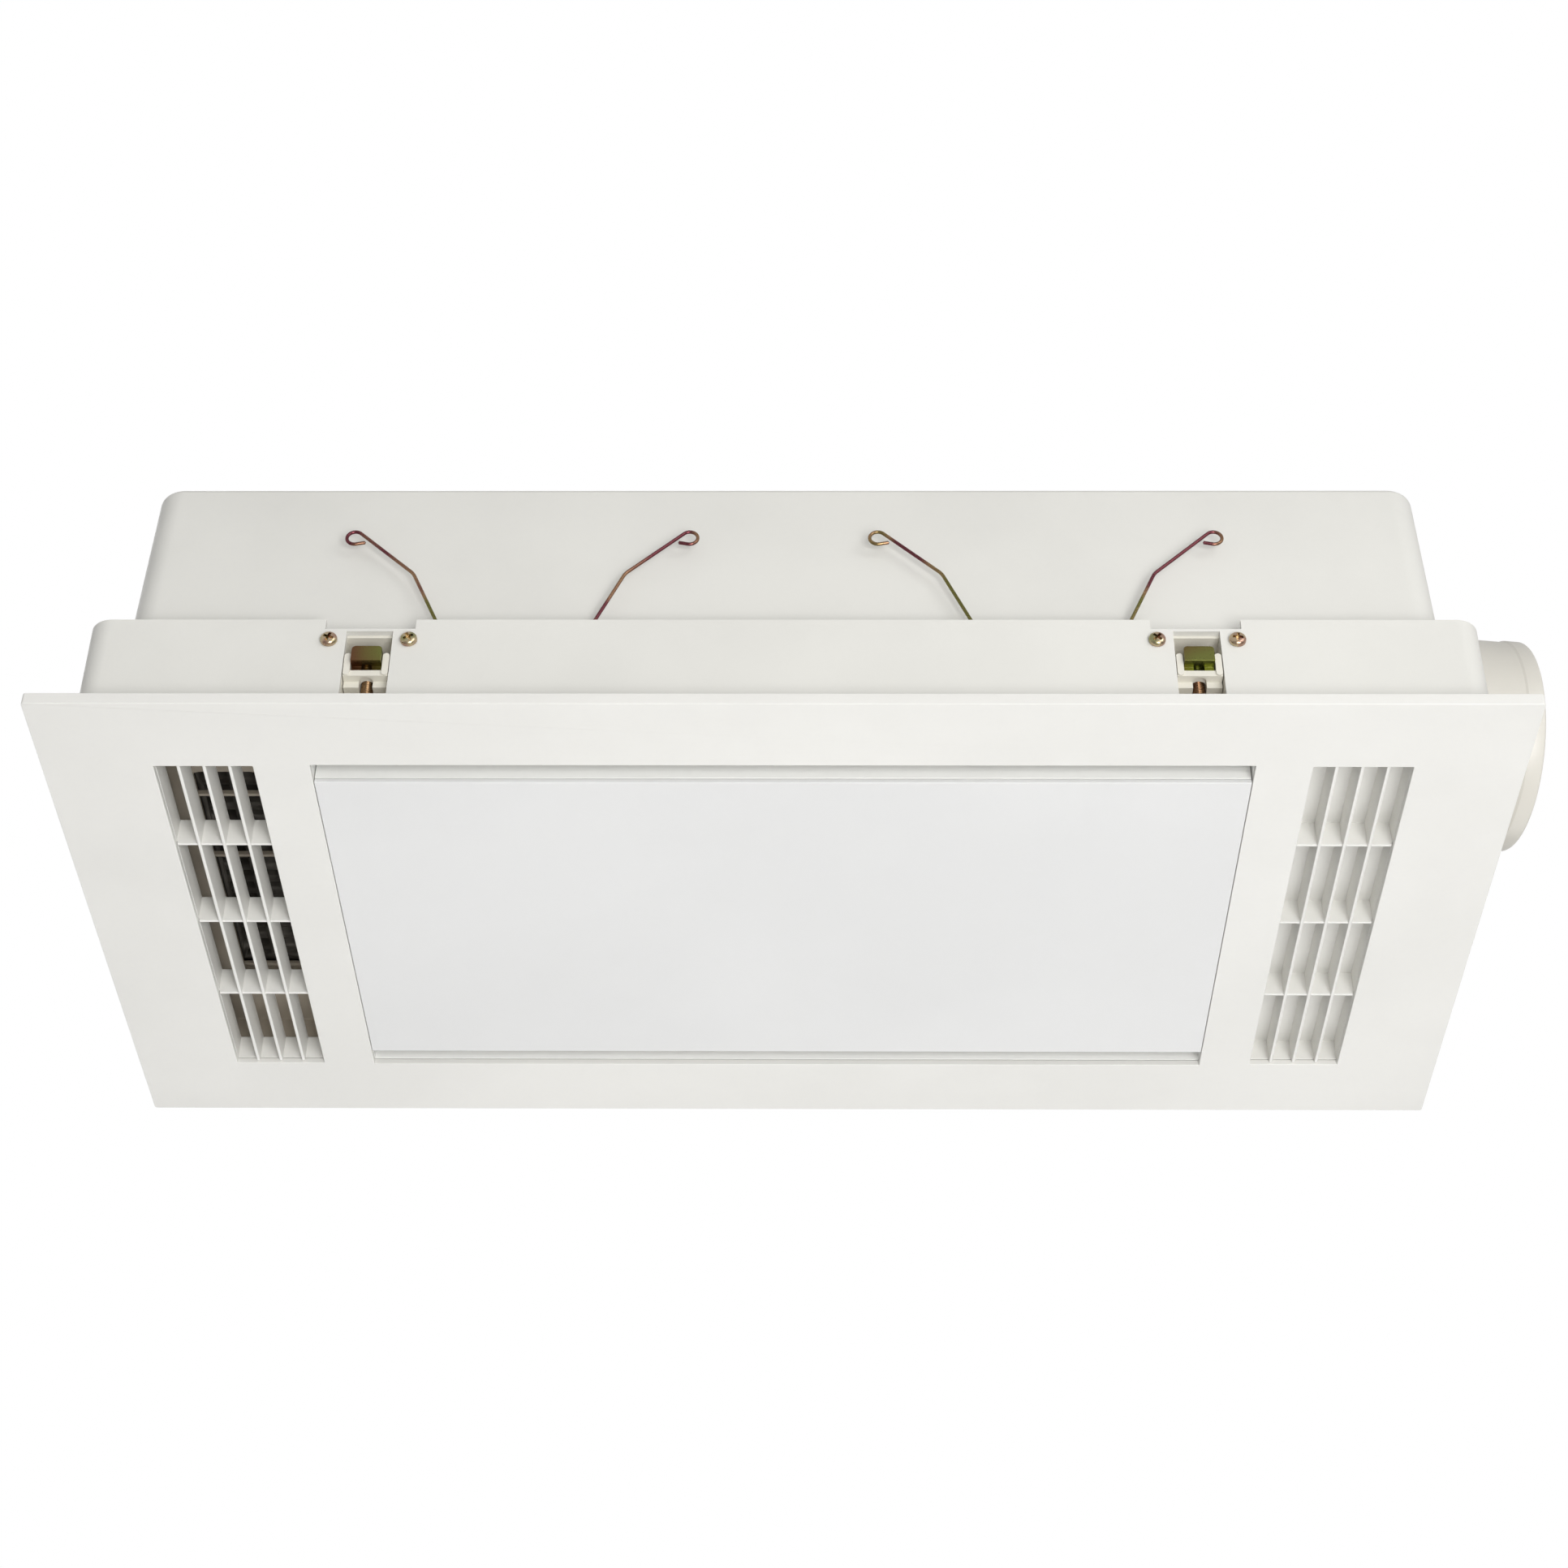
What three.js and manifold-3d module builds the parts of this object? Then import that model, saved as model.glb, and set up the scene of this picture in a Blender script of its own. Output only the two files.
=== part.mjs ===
// Ceiling bathroom heater with an exhaust fan and a light, made for a 600 x 300 mm ceiling opening.
// Millimetres. +Z is up, +X points out of the duct spigot and +Y to the rear.
// The origin is the centre of the visible face, level with it.
import * as THREE from 'three';
import * as BufferGeometryUtils from 'three/addons/utils/BufferGeometryUtils.js';
import Module from 'manifold-3d';

const wasm = await Module();
wasm.setup();

// Clearances shared by the whole unit
const fitGap = 0.3; // between pieces that seat on, lie in or run through each other
const cutOverrun = 4; // how far a cutter runs past the wall that it cuts
const weld = 0.4; // how far two shapes of one moulding run into each other

// Face panel
const panelLength = 600;
const panelWidth = 300;
const panelMargin = 15; // how far the panel reaches past the mounting frame on every side
const panelSkin = 2.8;
const rimHeight = 5.5;
const rimWall = 2;
const panelCorner = 2.4;

// Air grilles, one at each end of the panel
const grilleEndMargin = 65.6; // from the panel's end to the middle of the grille
const grilleSideMargin = 39.7; // from the panel's front and rear edges to the opening
const grilleOpeningWidth = 40.4;
const grilleTop = 14.5;
const grilleFrameWall = 2.4;
const slatCount = 3;
const slatThickness = 1.4;
const slatRecess = 1;
const crossBarCount = 3;
const crossBarThickness = 1.3;
const crossBarRecess = 1.7;
const baffleThickness = 1.2; // of the plate behind the intake grille's slats
const baffleSlotLength = 13; // of the air slot along the front of each row of cells

// Light in the middle of the panel, with an air slot along its front and rear edges
const lightEndMargin = 109; // from the panel's ends to the light's opening
const lightSideMargin = 39; // from the panel's front and rear edges to the light's opening
const airSlotWidth = 11;
const diffuserThickness = 2;
const collarWall = 2;
const collarHeight = 13;
const trayTop = 20;
const trayWall = 1.6;
const trayTabReach = 7;
const trayTabLength = 120;
const ledBoardThickness = 1.6;
const ledBoardMargin = 12;
const ledBoardRise = 9;
const ledPostRadius = 4;
const driverLength = 92;
const driverWidth = 44;
const driverHeight = 14;
const driverWall = 1.5;

// Mounting frame, the lower step of the casing
const frameTop = 57.3;
const frameWall = 2.4;
const frameCorner = 10;
const shelfBottom = 11;
const shelfThickness = 2.5;
const shelfReach = 17;

// Upper housing, which is a little narrower at its top than at the frame's top
const housingEndStep = 12; // from the frame's end to the housing's end
const housingSideStep = 11.5; // from the frame's side to the housing's side
const housingTop = 145;
const housingWall = 2.2;
const housingCorner = 12;
const housingDraft = 0.0227; // inward lean in mm for each mm of height

// Clamps that hold the unit to the ceiling's runners, two at the front and two at the rear
const clampSpacing = 337;
const clampWindowWidth = 19;
const clampWindowTop = 51;
const clampTravel = 7;
const notchWidth = 37;
const notchBottom = 52.3;
const guideRailWall = 1.8;
const guideBackWall = 1;
const guideFootThickness = 1.3;
const guideBridgeThickness = 1.4;
const guideEarLength = 10;
const guideEarThickness = 2.5;
const guideEarHeight = 10;
const guideDepth = 13;
const clampPocketDepth = 6;
const clampPocketWall = 2;
const clampPocketTop = 55;
const clampScrewRadius = 2.5;
const clampScrewDepth = 6.4; // from the frame's inner face to the screw's axis
const clampScrewTip = 44.6;
const clampHeadRadius = 4.6;
const clampHeadHeight = 3.2;
const clawWidth = 12.3;
const clawProud = 2; // how far the claw stands out of the frame's outer face
const clawTop = 41.4;
const clawUnderside = 33.2;
const clawOverhang = 4.3;
const clawDepth = 15;
const clawCorner = 1.6;
const carrierArmTop = 39.5;
const carrierBarTop = 31;
const carrierFootGap = 0.9; // left under the carrier when the clamp is fully down
const carrierSideGap = 0.4;
const carrierSkirtSetBack = 4.7;
const carrierSkirtTop = 28.1;
const carrierSlotSetBack = 1.8; // from the bar's front to the screw's slot in its underside
const carrierSlotTop = 29.4;
const carrierFootSetBack = 10;
const carrierFootTop = 25.1;

// Pan-head screws that hold the clamp guides, and their cross recess
const guideScrewSpacing = 32.6;
const guideScrewHeight = 46;
const guideScrewRadius = 1.5;
const guideScrewLength = 7;
const panHeadRadius = 3.9;
const panHeadHeight = 2.4;
const crossRecessLength = 4.2;
const crossRecessWidth = 1;
const crossRecessDepth = 1.3;

// Panel springs, each one bent wire with a loop at both ends
const springSpacing = 220.8;
const springSetBack = 4; // from the frame's inner face to the middle of the wire
const springWire = 1.5;
const springBaseHeight = 6.6;
const springBaseHalf = 8.3;
const springKinkHalf = 44.3;
const springKinkHeight = 88.6;
const springLoopHalf = 70.7;
const springLoopHeight = 108.8;
const springLoopRadius = 3.45;
const springLoopTurn = 4.1; // radians of wire round each end loop
const springTail = 3.8; // straight wire after the loop, back towards the arm
const springLoopSteps = 16;
const springBend = 3; // length of straight that each bend takes up on both sides of its corner
const springBendSteps = 4;
const springSlotHalf = 19;
const springSlotWidth = 4.4;
const springLugLength = 9;
const springLugWall = 1.3;
const springLugRise = 0.9;

// Duct spigot in the right side, turned a little to the rear, with its backdraft flap
const spigotYaw = THREE.MathUtils.degToRad(7);
const spigotReach = 45; // from the housing's end at its foot to the middle of the spigot's end
const spigotOffsetShare = 0.1356; // of the housing's width, from its middle to the spigot's end
const spigotAxisZ = 72.8;
const spigotLipRadius = 46;
const spigotLipLength = 7;
const spigotLipStep = 0.6;
const spigotLipRound = 1.2;
const spigotWall = 2.2;
const spigotInnerReach = 16; // from the housing's end to the spigot's inner end
const spigotFlange = 7;
const spigotFlangeThickness = 3;
const flapPivotInset = 4; // from the housing's end to the flap's pin
const flapThickness = 1.4;
const flapRimGap = 1.5;
const flapStop = 2.2;
const flapKnuckleRadius = 2.6;
const flapKnuckleLength = 16;
const flapKnucklePitch = 18;
const flapKnuckleShares = [-1.5, 0.5]; // knuckle places in pitches, the other half's lie between
const flapPinRadius = 1.2;

// Blowers, one for warm air and one for the exhaust
const scrollEndShare = 0.3644; // of the housing's width, the largest radius of the scroll
const scrollStartShare = 0.711; // of the largest radius
const scrollExitShare = 0.689; // of the largest radius, the width of the mouth
const scrollStart = THREE.MathUtils.degToRad(-55);
const scrollEnd = THREE.MathUtils.degToRad(270);
const scrollBottom = 41.8;
const scrollTop = 103.8;
const scrollWall = 2;
const scrollCoverThickness = 2;
const scrollCoverMargin = 3;
const scrollInletLip = 5;
const scrollPostRadius = 5;
const scrollPostCount = 3;
const wheelClearance = 4;
const wheelTongueGap = 8; // between the wheel and the scroll's smallest radius
const wheelInletStep = 10; // from the wheel's rim in to the inlet's edge
const wheelDisc = 2;
const wheelRing = 9;
const bladeCount = 16;
const bladeLength = 9.5;
const bladeThickness = 1.3;
const bladeLean = THREE.MathUtils.degToRad(32);
const shaftRadius = 3;
const hubRadius = 9;
const hubLength = 24;
const motorRadius = 29;
const motorHeight = 30;
const motorFlangeRadius = 38;
const motorFlangeThickness = 2.5;
const motorShaftDepth = 16;
const exhaustBlowerShare = 0.293; // of the housing's length, from its middle to the right
const warmBlowerShare = 0.1905; // of the housing's length, from its middle to the left

// Heater behind the left grille
const nozzleBottom = 26;
const nozzleThickness = 3;
const nozzleOpeningWidth = 34;
const nozzleSetBack = 36.3; // from the ends of the grille's opening to the nozzle's
const nozzleOpeningCorner = 7;
const nozzleMargin = 10;
const nozzleRibCount = 3;
const nozzleRibFirstShare = 0.385; // of the nozzle's length, from its middle to the front rib
const nozzleRibPitchShare = 0.2905; // of the nozzle's length
const nozzleRibThickness = 1.6;
const nozzleRibHeight = 2;
const heaterHeight = 20;
const heaterFrameWall = 3;
const heaterFrameLip = 2;
const finCount = 16;
const finGroove = 3.4;
const finWeb = 1.5;
const ductTop = 110;
const ductWall = 1.5;
const ductPostRadius = 5;
const cutoutRadius = 8;
const cutoutHeight = 9;
const cutoutFlange = 2;

// Control box under the housing's roof, and the cable gland in the rear wall
const controlBoxX = 28;
const controlBoxLength = 84;
const controlBoxWidth = 120;
const controlBoxHeight = 34;
const controlBoxWall = 2;
const controlLidThickness = 2;
const boardThickness = 1.6;
const boardPostRadius = 3;
const boardPostHeight = 8;
const terminalLength = 52;
const terminalDepth = 16;
const terminalHeight = 14;
const terminalWays = 6;
const glandRadius = 10;
const glandBore = 5;
const glandNutRadius = 14;
const glandNutThickness = 5;
const glandReach = 14;

// Facet counts
const cornerFacets = 3;
const roundFacets = 28;
const spigotFacets = 40;
const smallFacets = 12;

// Places that follow from the sizes above
const shelfTop = shelfBottom + shelfThickness;
const housingBottom = shelfTop + fitGap;
const frameBottom = panelSkin + fitGap;
const guideBottom = shelfTop + fitGap;
const guideFootTop = guideBottom + guideFootThickness;
const carrierBottom = guideFootTop + clampTravel + carrierFootGap;
const frameLength = panelLength - 2 * panelMargin;
const frameWidth = panelWidth - 2 * panelMargin;
const housingLength = frameLength - 2 * housingEndStep;
const housingWidth = frameWidth - 2 * housingSideStep;
const clampWallY = frameWidth / 2 - frameWall;
const springPlaneY = clampWallY - springSetBack;
const grilleCentreX = panelLength / 2 - grilleEndMargin;
const grilleOpeningLength = panelWidth - 2 * grilleSideMargin;
const lightOpeningLength = panelLength - 2 * lightEndMargin;
const lightOpeningWidth = panelWidth - 2 * lightSideMargin;
const spigotBarrelRadius = spigotLipRadius - spigotLipStep;
const spigotBoreRadius = spigotBarrelRadius - spigotWall;
const diffuserWidth = lightOpeningWidth - 2 * airSlotWidth;
const nozzleOpeningLength = grilleOpeningLength - 2 * nozzleSetBack;
const spigotEndX = housingLength / 2 + spigotReach;
const spigotEndY = -housingWidth * spigotOffsetShare;
const spigotInnerX = housingLength / 2 - spigotInnerReach;
const flapPivotX = housingLength / 2 - flapPivotInset;
const scrollEndRadius = housingWidth * scrollEndShare;
const scrollStartRadius = scrollEndRadius * scrollStartShare;
const scrollExitWidth = scrollEndRadius * scrollExitShare;
const wheelRadius = scrollStartRadius - wheelTongueGap;
const scrollInletRadius = wheelRadius - wheelInletStep;
const scrollRoofGap = housingTop - housingWall - scrollTop - fitGap;

const spigotAxisY = (x) => spigotEndY - (spigotEndX - x) * Math.tan(spigotYaw);
const flapPivotY = spigotAxisY(flapPivotX);
const exhaustBlowerX = housingLength * exhaustBlowerShare;
const exhaustBlowerY = spigotAxisY(spigotInnerX) + scrollEndRadius - scrollExitWidth / 2;
const warmBlowerX = -housingLength * warmBlowerShare;
const warmBlowerY = -exhaustBlowerY;

const unit = new THREE.Group();

// Materials, one for each kind of surface, made fresh for every sub-part
function surface(color, roughness, metalness) {
  return new THREE.MeshStandardMaterial({ color, roughness, metalness });
}

const panelWhite = () => surface(0xebebe7, 0.45, 0);
const casingWhite = () => surface(0xe4e3de, 0.5, 0);
const clampWhite = () => surface(0xe6e3da, 0.5, 0);
const spigotCream = () => surface(0xeee9dc, 0.45, 0);
const diffuserWhite = () => surface(0xe8e9ea, 0.6, 0);
const yellowZinc = () => surface(0x9a8a4c, 0.35, 0.9);
const galvanised = () => surface(0xa9adb0, 0.45, 0.9);
const fanGrey = () => surface(0x5a5f63, 0.55, 0);
const nozzleGrey = () => surface(0x8a8578, 0.6, 0);
const heaterDark = () => surface(0x35322d, 0.6, 0.4);
const motorSteel = () => surface(0x8b8f92, 0.4, 0.9);
const boardGreen = () => surface(0x2f6b46, 0.5, 0);
const boardWhite = () => surface(0xf2f2ee, 0.5, 0);
const terminalGrey = () => surface(0xc9c9c4, 0.5, 0);
const glandBlack = () => surface(0x26282a, 0.55, 0);

// Turns a closed three.js geometry into a solid whose faces point out
function solidOf(geometry) {
  geometry.deleteAttribute('normal');
  geometry.deleteAttribute('uv');
  const merged = BufferGeometryUtils.mergeVertices(geometry);
  const index = merged.index.array;
  const points = merged.attributes.position.array;
  const triangles = [];
  const [a, b, c] = [new THREE.Vector3(), new THREE.Vector3(), new THREE.Vector3()];
  let volume = 0;
  for (let i = 0; i < index.length; i += 3) {
    const [p, q, r] = [index[i], index[i + 1], index[i + 2]];
    if (p === q || q === r || r === p) continue;
    triangles.push([p, q, r]);
    a.fromArray(points, 3 * p);
    b.fromArray(points, 3 * q);
    c.fromArray(points, 3 * r);
    volume += a.dot(b.cross(c));
  }
  const facing = volume < 0 ? triangles.map(([p, q, r]) => [p, r, q]) : triangles;
  const triVerts = new Uint32Array(facing.flat());
  return new wasm.Manifold(new wasm.Mesh({ numProp: 3, vertProperties: points, triVerts }));
}

// Turns a solid back into a three.js geometry
function geometryOf(solid) {
  const mesh = solid.getMesh();
  const geometry = new THREE.BufferGeometry();
  geometry.setAttribute('position', new THREE.BufferAttribute(mesh.vertProperties, mesh.numProp));
  geometry.setIndex(new THREE.BufferAttribute(mesh.triVerts, 1));
  geometry.computeVertexNormals();
  return geometry;
}

function addPart(name, solid, material, group = unit) {
  const mesh = new THREE.Mesh(geometryOf(solid), material);
  mesh.name = name;
  group.add(mesh);
}

const joined = (first, ...rest) => rest.reduce((sum, next) => sum.add(next), first);
const cut = (first, ...rest) => rest.reduce((left, next) => left.subtract(next), first);

// A range centred on a place
const across = (size, centre = 0) => [centre - size / 2, centre + size / 2];

// A box between two values on each axis
function block([x0, x1], [y0, y1], [z0, z1]) {
  const box = new THREE.BoxGeometry(x1 - x0, y1 - y0, z1 - z0);
  box.translate((x0 + x1) / 2, (y0 + y1) / 2, (z0 + z1) / 2);
  return solidOf(box);
}

// An upright outline with a height
function prism(shape, [z0, z1]) {
  const settings = { depth: z1 - z0, bevelEnabled: false, curveSegments: cornerFacets };
  return solidOf(new THREE.ExtrudeGeometry(shape, settings).translate(0, 0, z0));
}

function roundedRect(length, width, radius) {
  const x = length / 2 - radius;
  const y = width / 2 - radius;
  const shape = new THREE.Shape();
  shape.absarc(x, y, radius, 0, Math.PI / 2);
  shape.absarc(-x, y, radius, Math.PI / 2, Math.PI);
  shape.absarc(-x, -y, radius, Math.PI, 1.5 * Math.PI);
  shape.absarc(x, -y, radius, 1.5 * Math.PI, 2 * Math.PI);
  return shape;
}

// A round bar along Z, with its centre line at x, y
function post(radius, [z0, z1], x = 0, y = 0, facets = smallFacets) {
  const bar = new THREE.CylinderGeometry(radius, radius, z1 - z0, facets);
  bar.rotateX(Math.PI / 2);
  bar.translate(x, y, (z0 + z1) / 2);
  return solidOf(bar);
}

// A profile of [radius, height] points turned round the Z axis
function turned(profile, facets = roundFacets) {
  const points = profile.map(([radius, height]) => new THREE.Vector2(radius, height));
  return new THREE.LatheGeometry(points, facets).rotateX(Math.PI / 2);
}

// A flat ring between two rounded rectangles
function rectRing(length, width, wall, corner, heights) {
  const outer = prism(roundedRect(length, width, corner), heights);
  const cutHeights = [heights[0] - cutOverrun, heights[1] + cutOverrun];
  const innerCorner = Math.max(corner - wall, fitGap);
  return cut(outer, prism(roundedRect(length - 2 * wall, width - 2 * wall, innerCorner), cutHeights));
}

// Where the four springs and the four clamps stand
const sides = [
  { name: 'front_left', x: -1, y: -1 },
  { name: 'front_right', x: 1, y: -1 },
  { name: 'rear_left', x: -1, y: 1 },
  { name: 'rear_right', x: 1, y: 1 },
];

// Half length of the housing's outside at a height, and the same for its width
const housingHalf = (size, height) => size / 2 - housingDraft * (height - frameTop);

// Solid box with the housing's drafted sides, drawn in by an inset
function draftedBox(inset, [z0, z1]) {
  const length = 2 * (housingHalf(housingLength, z0) - inset);
  const width = 2 * (housingHalf(housingWidth, z0) - inset);
  const shape = roundedRect(length, width, housingCorner - inset);
  const settings = { depth: z1 - z0, bevelEnabled: false, curveSegments: cornerFacets };
  const box = new THREE.ExtrudeGeometry(shape, settings).translate(0, 0, z0);
  const points = box.attributes.position;
  for (let i = 0; i < points.count; i += 1) {
    const lean = housingDraft * (points.getZ(i) - z0);
    points.setX(i, points.getX(i) - Math.sign(points.getX(i)) * lean);
    points.setY(i, points.getY(i) - Math.sign(points.getY(i)) * lean);
  }
  return solidOf(box);
}

function facePanel() {
  const rim = rectRing(panelLength, panelWidth, rimWall, panelCorner, [0, rimHeight]);
  const lightHole = block(
    across(lightOpeningLength),
    across(lightOpeningWidth),
    [-cutOverrun, rimHeight],
  );
  const grilleHoles = [-grilleCentreX, grilleCentreX].map((x) =>
    block(
      across(grilleOpeningWidth, x),
      across(grilleOpeningLength),
      [-cutOverrun, rimHeight],
    ));
  const skin = prism(roundedRect(panelLength, panelWidth, panelCorner), [0, panelSkin]);
  const solid = cut(joined(skin, rim, ...sides.map(springLug)), lightHole, ...grilleHoles);
  addPart('face_panel', solid, panelWhite());
}

// Upright frame on the panel's back, round the light's opening, which carries the light's tray
function lightCollar() {
  const collarLength = lightOpeningLength + 2 * collarWall;
  const collarWidth = lightOpeningWidth + 2 * collarWall;
  const heights = [panelSkin + fitGap, collarHeight];
  const walls = block(across(collarLength), across(collarWidth), heights);
  const room = block(
    across(lightOpeningLength),
    across(lightOpeningWidth),
    [-cutOverrun, collarHeight + cutOverrun],
  );
  addPart('light_collar', cut(walls, room), panelWhite());
}

// Two cheeks and a saddle on the panel's back, between which a spring's base lies
function springLug(side) {
  const x = side.x * springSpacing / 2;
  const y = side.y * springPlaneY;
  const slot = springWire + 2 * fitGap;
  const cheekTop = springBaseHeight + springWire / 2 + springLugRise;
  const saddleTop = springBaseHeight - springWire / 2 - fitGap;
  const body = block(across(springLugLength, x), across(slot + 2 * springLugWall, y), [0, cheekTop]);
  const room = block(
    across(springLugLength + cutOverrun, x),
    across(slot, y),
    [saddleTop, cheekTop + cutOverrun],
  );
  return cut(body, room);
}

// Slats and cross bars in a ring; the intake has a baffle plate on top that leaves air slots
function airGrille(name, x, hasBaffle) {
  const group = new THREE.Group();
  group.position.x = x;
  unit.add(group);
  const seat = panelSkin + fitGap;
  const ringLength = grilleOpeningWidth + 2 * grilleFrameWall;
  const ringWidth = grilleOpeningLength + 2 * grilleFrameWall;
  const corner = grilleFrameWall + fitGap;
  const ring = rectRing(ringLength, ringWidth, grilleFrameWall, corner, [seat, grilleTop]);
  const slatPitch = (grilleOpeningWidth + slatThickness) / (slatCount + 1);
  const barPitch = (grilleOpeningLength + crossBarThickness) / (crossBarCount + 1);
  const bars = [];
  for (let i = 1; i <= slatCount; i += 1) {
    const at = i * slatPitch - (grilleOpeningWidth + slatThickness) / 2;
    const thick = across(slatThickness, at);
    bars.push(block(thick, across(grilleOpeningLength - 2 * fitGap), [slatRecess, grilleTop]));
    bars.push(block(thick, across(grilleOpeningLength + grilleFrameWall), [seat, grilleTop]));
  }
  for (let i = 1; i <= crossBarCount; i += 1) {
    const at = i * barPitch - (grilleOpeningLength + crossBarThickness) / 2;
    const thick = across(crossBarThickness, at);
    bars.push(block(across(grilleOpeningWidth - 2 * fitGap), thick, [crossBarRecess, grilleTop]));
    bars.push(block(across(grilleOpeningWidth + grilleFrameWall), thick, [seat, grilleTop]));
  }
  const grille = joined(ring, ...bars);
  addPart(name, hasBaffle ? joined(grille, grilleBaffle(barPitch)) : grille, panelWhite(), group);
}

function grilleBaffle(barPitch) {
  const heights = [grilleTop - baffleThickness, grilleTop];
  const plate = block(
    across(grilleOpeningWidth + grilleFrameWall),
    across(grilleOpeningLength + grilleFrameWall),
    heights,
  );
  const slots = [];
  for (let i = 0; i <= crossBarCount; i += 1) {
    const front = i * barPitch - grilleOpeningLength / 2;
    const depths = [front, front + baffleSlotLength];
    const cutHeights = [heights[0] - cutOverrun, heights[1] + cutOverrun];
    slots.push(block(across(grilleOpeningWidth), depths, cutHeights));
  }
  return cut(plate, ...slots);
}

function lightUnit() {
  const length = lightOpeningLength - 2 * fitGap;
  const width = diffuserWidth;
  const diffuser = block(across(length), across(width), [0, diffuserThickness]);
  addPart('light_diffuser', diffuser, diffuserWhite());

  const trayBottom = diffuserThickness + fitGap;
  const tray = block(across(length), across(width), [trayBottom, trayTop]);
  const hollow = block(
    across(length - 2 * trayWall),
    across(width - 2 * trayWall),
    [trayBottom - cutOverrun, trayTop - trayWall],
  );
  const tabHeights = [collarHeight + fitGap, collarHeight + fitGap + trayWall];
  const tabs = block(across(length + 2 * trayTabReach), across(trayTabLength), tabHeights);
  const hollowedTabs = cut(tabs, block(across(length - trayWall), across(width), tabHeights));
  const boardTop = trayBottom + ledBoardRise + ledBoardThickness;
  const postPlaces = [-1, 1].flatMap((x) => [-1, 1].map((y) => [x * length / 3, y * width / 3]));
  const posts = postPlaces.map(([x, y]) =>
    post(ledPostRadius, [boardTop + fitGap, trayTop - trayWall / 2], x, y));
  addPart('light_tray', joined(cut(tray, hollow), hollowedTabs, ...posts), panelWhite());

  const board = block(
    across(length - 2 * ledBoardMargin),
    across(width - 2 * ledBoardMargin),
    [boardTop - ledBoardThickness, boardTop],
  );
  addPart('led_board', board, boardWhite());

  const driverHeights = [trayTop + fitGap, trayTop + fitGap + driverHeight];
  const driver = block(across(driverLength, controlBoxX), across(driverWidth), driverHeights);
  const driverHollow = block(
    across(driverLength - 2 * driverWall, controlBoxX),
    across(driverWidth - 2 * driverWall),
    [driverHeights[0] - cutOverrun, driverHeights[1] - driverWall],
  );
  addPart('led_driver', cut(driver, driverHollow), casingWhite());
}

// A path that runs straight from point to point, with one section of the wire at each point
class WirePath extends THREE.Curve {
  constructor(points) {
    super();
    this.points = points;
  }

  getPoint(share) {
    const place = THREE.MathUtils.clamp(share, 0, 1) * (this.points.length - 1);
    const from = Math.min(Math.floor(place), this.points.length - 2);
    return this.points[from].clone().lerp(this.points[from + 1], place - from);
  }

  getUtoTmapping(share) {
    return share;
  }
}

// Points of a rounded bend at a corner between two straight stretches
function bendPoints(before, corner, after) {
  const start = corner.clone().add(before.clone().sub(corner).setLength(springBend));
  const end = corner.clone().add(after.clone().sub(corner).setLength(springBend));
  return new THREE.QuadraticBezierCurve(start, corner, end).getPoints(springBendSteps);
}

// Centre line of a panel spring: base, two arms that spread upwards, and a loop at each end
function springPath() {
  const foot = new THREE.Vector2(springBaseHalf, springBaseHeight);
  const kink = new THREE.Vector2(springKinkHalf, springKinkHeight);
  const loop = new THREE.Vector2(springLoopHalf, springLoopHeight);
  const reach = loop.clone().sub(kink);
  const lean = Math.asin(springLoopRadius / reach.length());
  const arrival = reach.angle() + lean + Math.PI / 2;
  const right = [];
  for (let i = springLoopSteps; i >= 0; i -= 1) {
    const angle = arrival - (i / springLoopSteps) * springLoopTurn;
    const arm = new THREE.Vector2(Math.cos(angle), Math.sin(angle));
    right.push(loop.clone().add(arm.multiplyScalar(springLoopRadius)));
  }
  const freeEnd = arrival - springLoopTurn;
  const tail = new THREE.Vector2(Math.sin(freeEnd), -Math.cos(freeEnd));
  right.unshift(right[0].clone().add(tail.multiplyScalar(springTail)));
  const middle = new THREE.Vector2(0, springBaseHeight);
  right.push(...bendPoints(right[right.length - 1], kink, foot));
  right.push(...bendPoints(kink, foot, middle));
  const left = right.map((p) => new THREE.Vector2(-p.x, p.y)).reverse();
  return [...right, ...left].map((p) => new THREE.Vector3(p.x, 0, p.y));
}

// Least gap between the wire and itself, past the stretch where it is simply joined
function leastSelfGap(path) {
  const spacing = springWire / 4;
  const stretch = 3 * springWire;
  const samples = [];
  for (let i = 1; i < path.length; i += 1) {
    const count = Math.ceil(path[i].distanceTo(path[i - 1]) / spacing);
    for (let k = 0; k < count; k += 1) {
      samples.push(path[i - 1].clone().lerp(path[i], k / count));
    }
  }
  let least = Infinity;
  for (let i = 0; i < samples.length; i += 1) {
    let along = 0;
    for (let j = i + 1; j < samples.length; j += 1) {
      along += samples[j].distanceTo(samples[j - 1]);
      if (along > stretch) least = Math.min(least, samples[i].distanceTo(samples[j]) - springWire);
    }
  }
  return least;
}

function panelSprings() {
  const path = springPath();
  console.log('least gap of a panel spring to itself', leastSelfGap(path));
  const section = new THREE.Shape();
  section.absarc(0, 0, springWire / 2, 0, 2 * Math.PI);
  const settings = {
    steps: path.length - 1,
    extrudePath: new WirePath(path),
    bevelEnabled: false,
    curveSegments: cornerFacets,
  };
  for (const side of sides) {
    const group = new THREE.Group();
    group.position.set(side.x * springSpacing / 2, side.y * springPlaneY, 0);
    unit.add(group);
    const wire = solidOf(new THREE.ExtrudeGeometry(section, settings));
    addPart('panel_spring_' + side.name, wire, yellowZinc(), group);
  }
}

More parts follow.
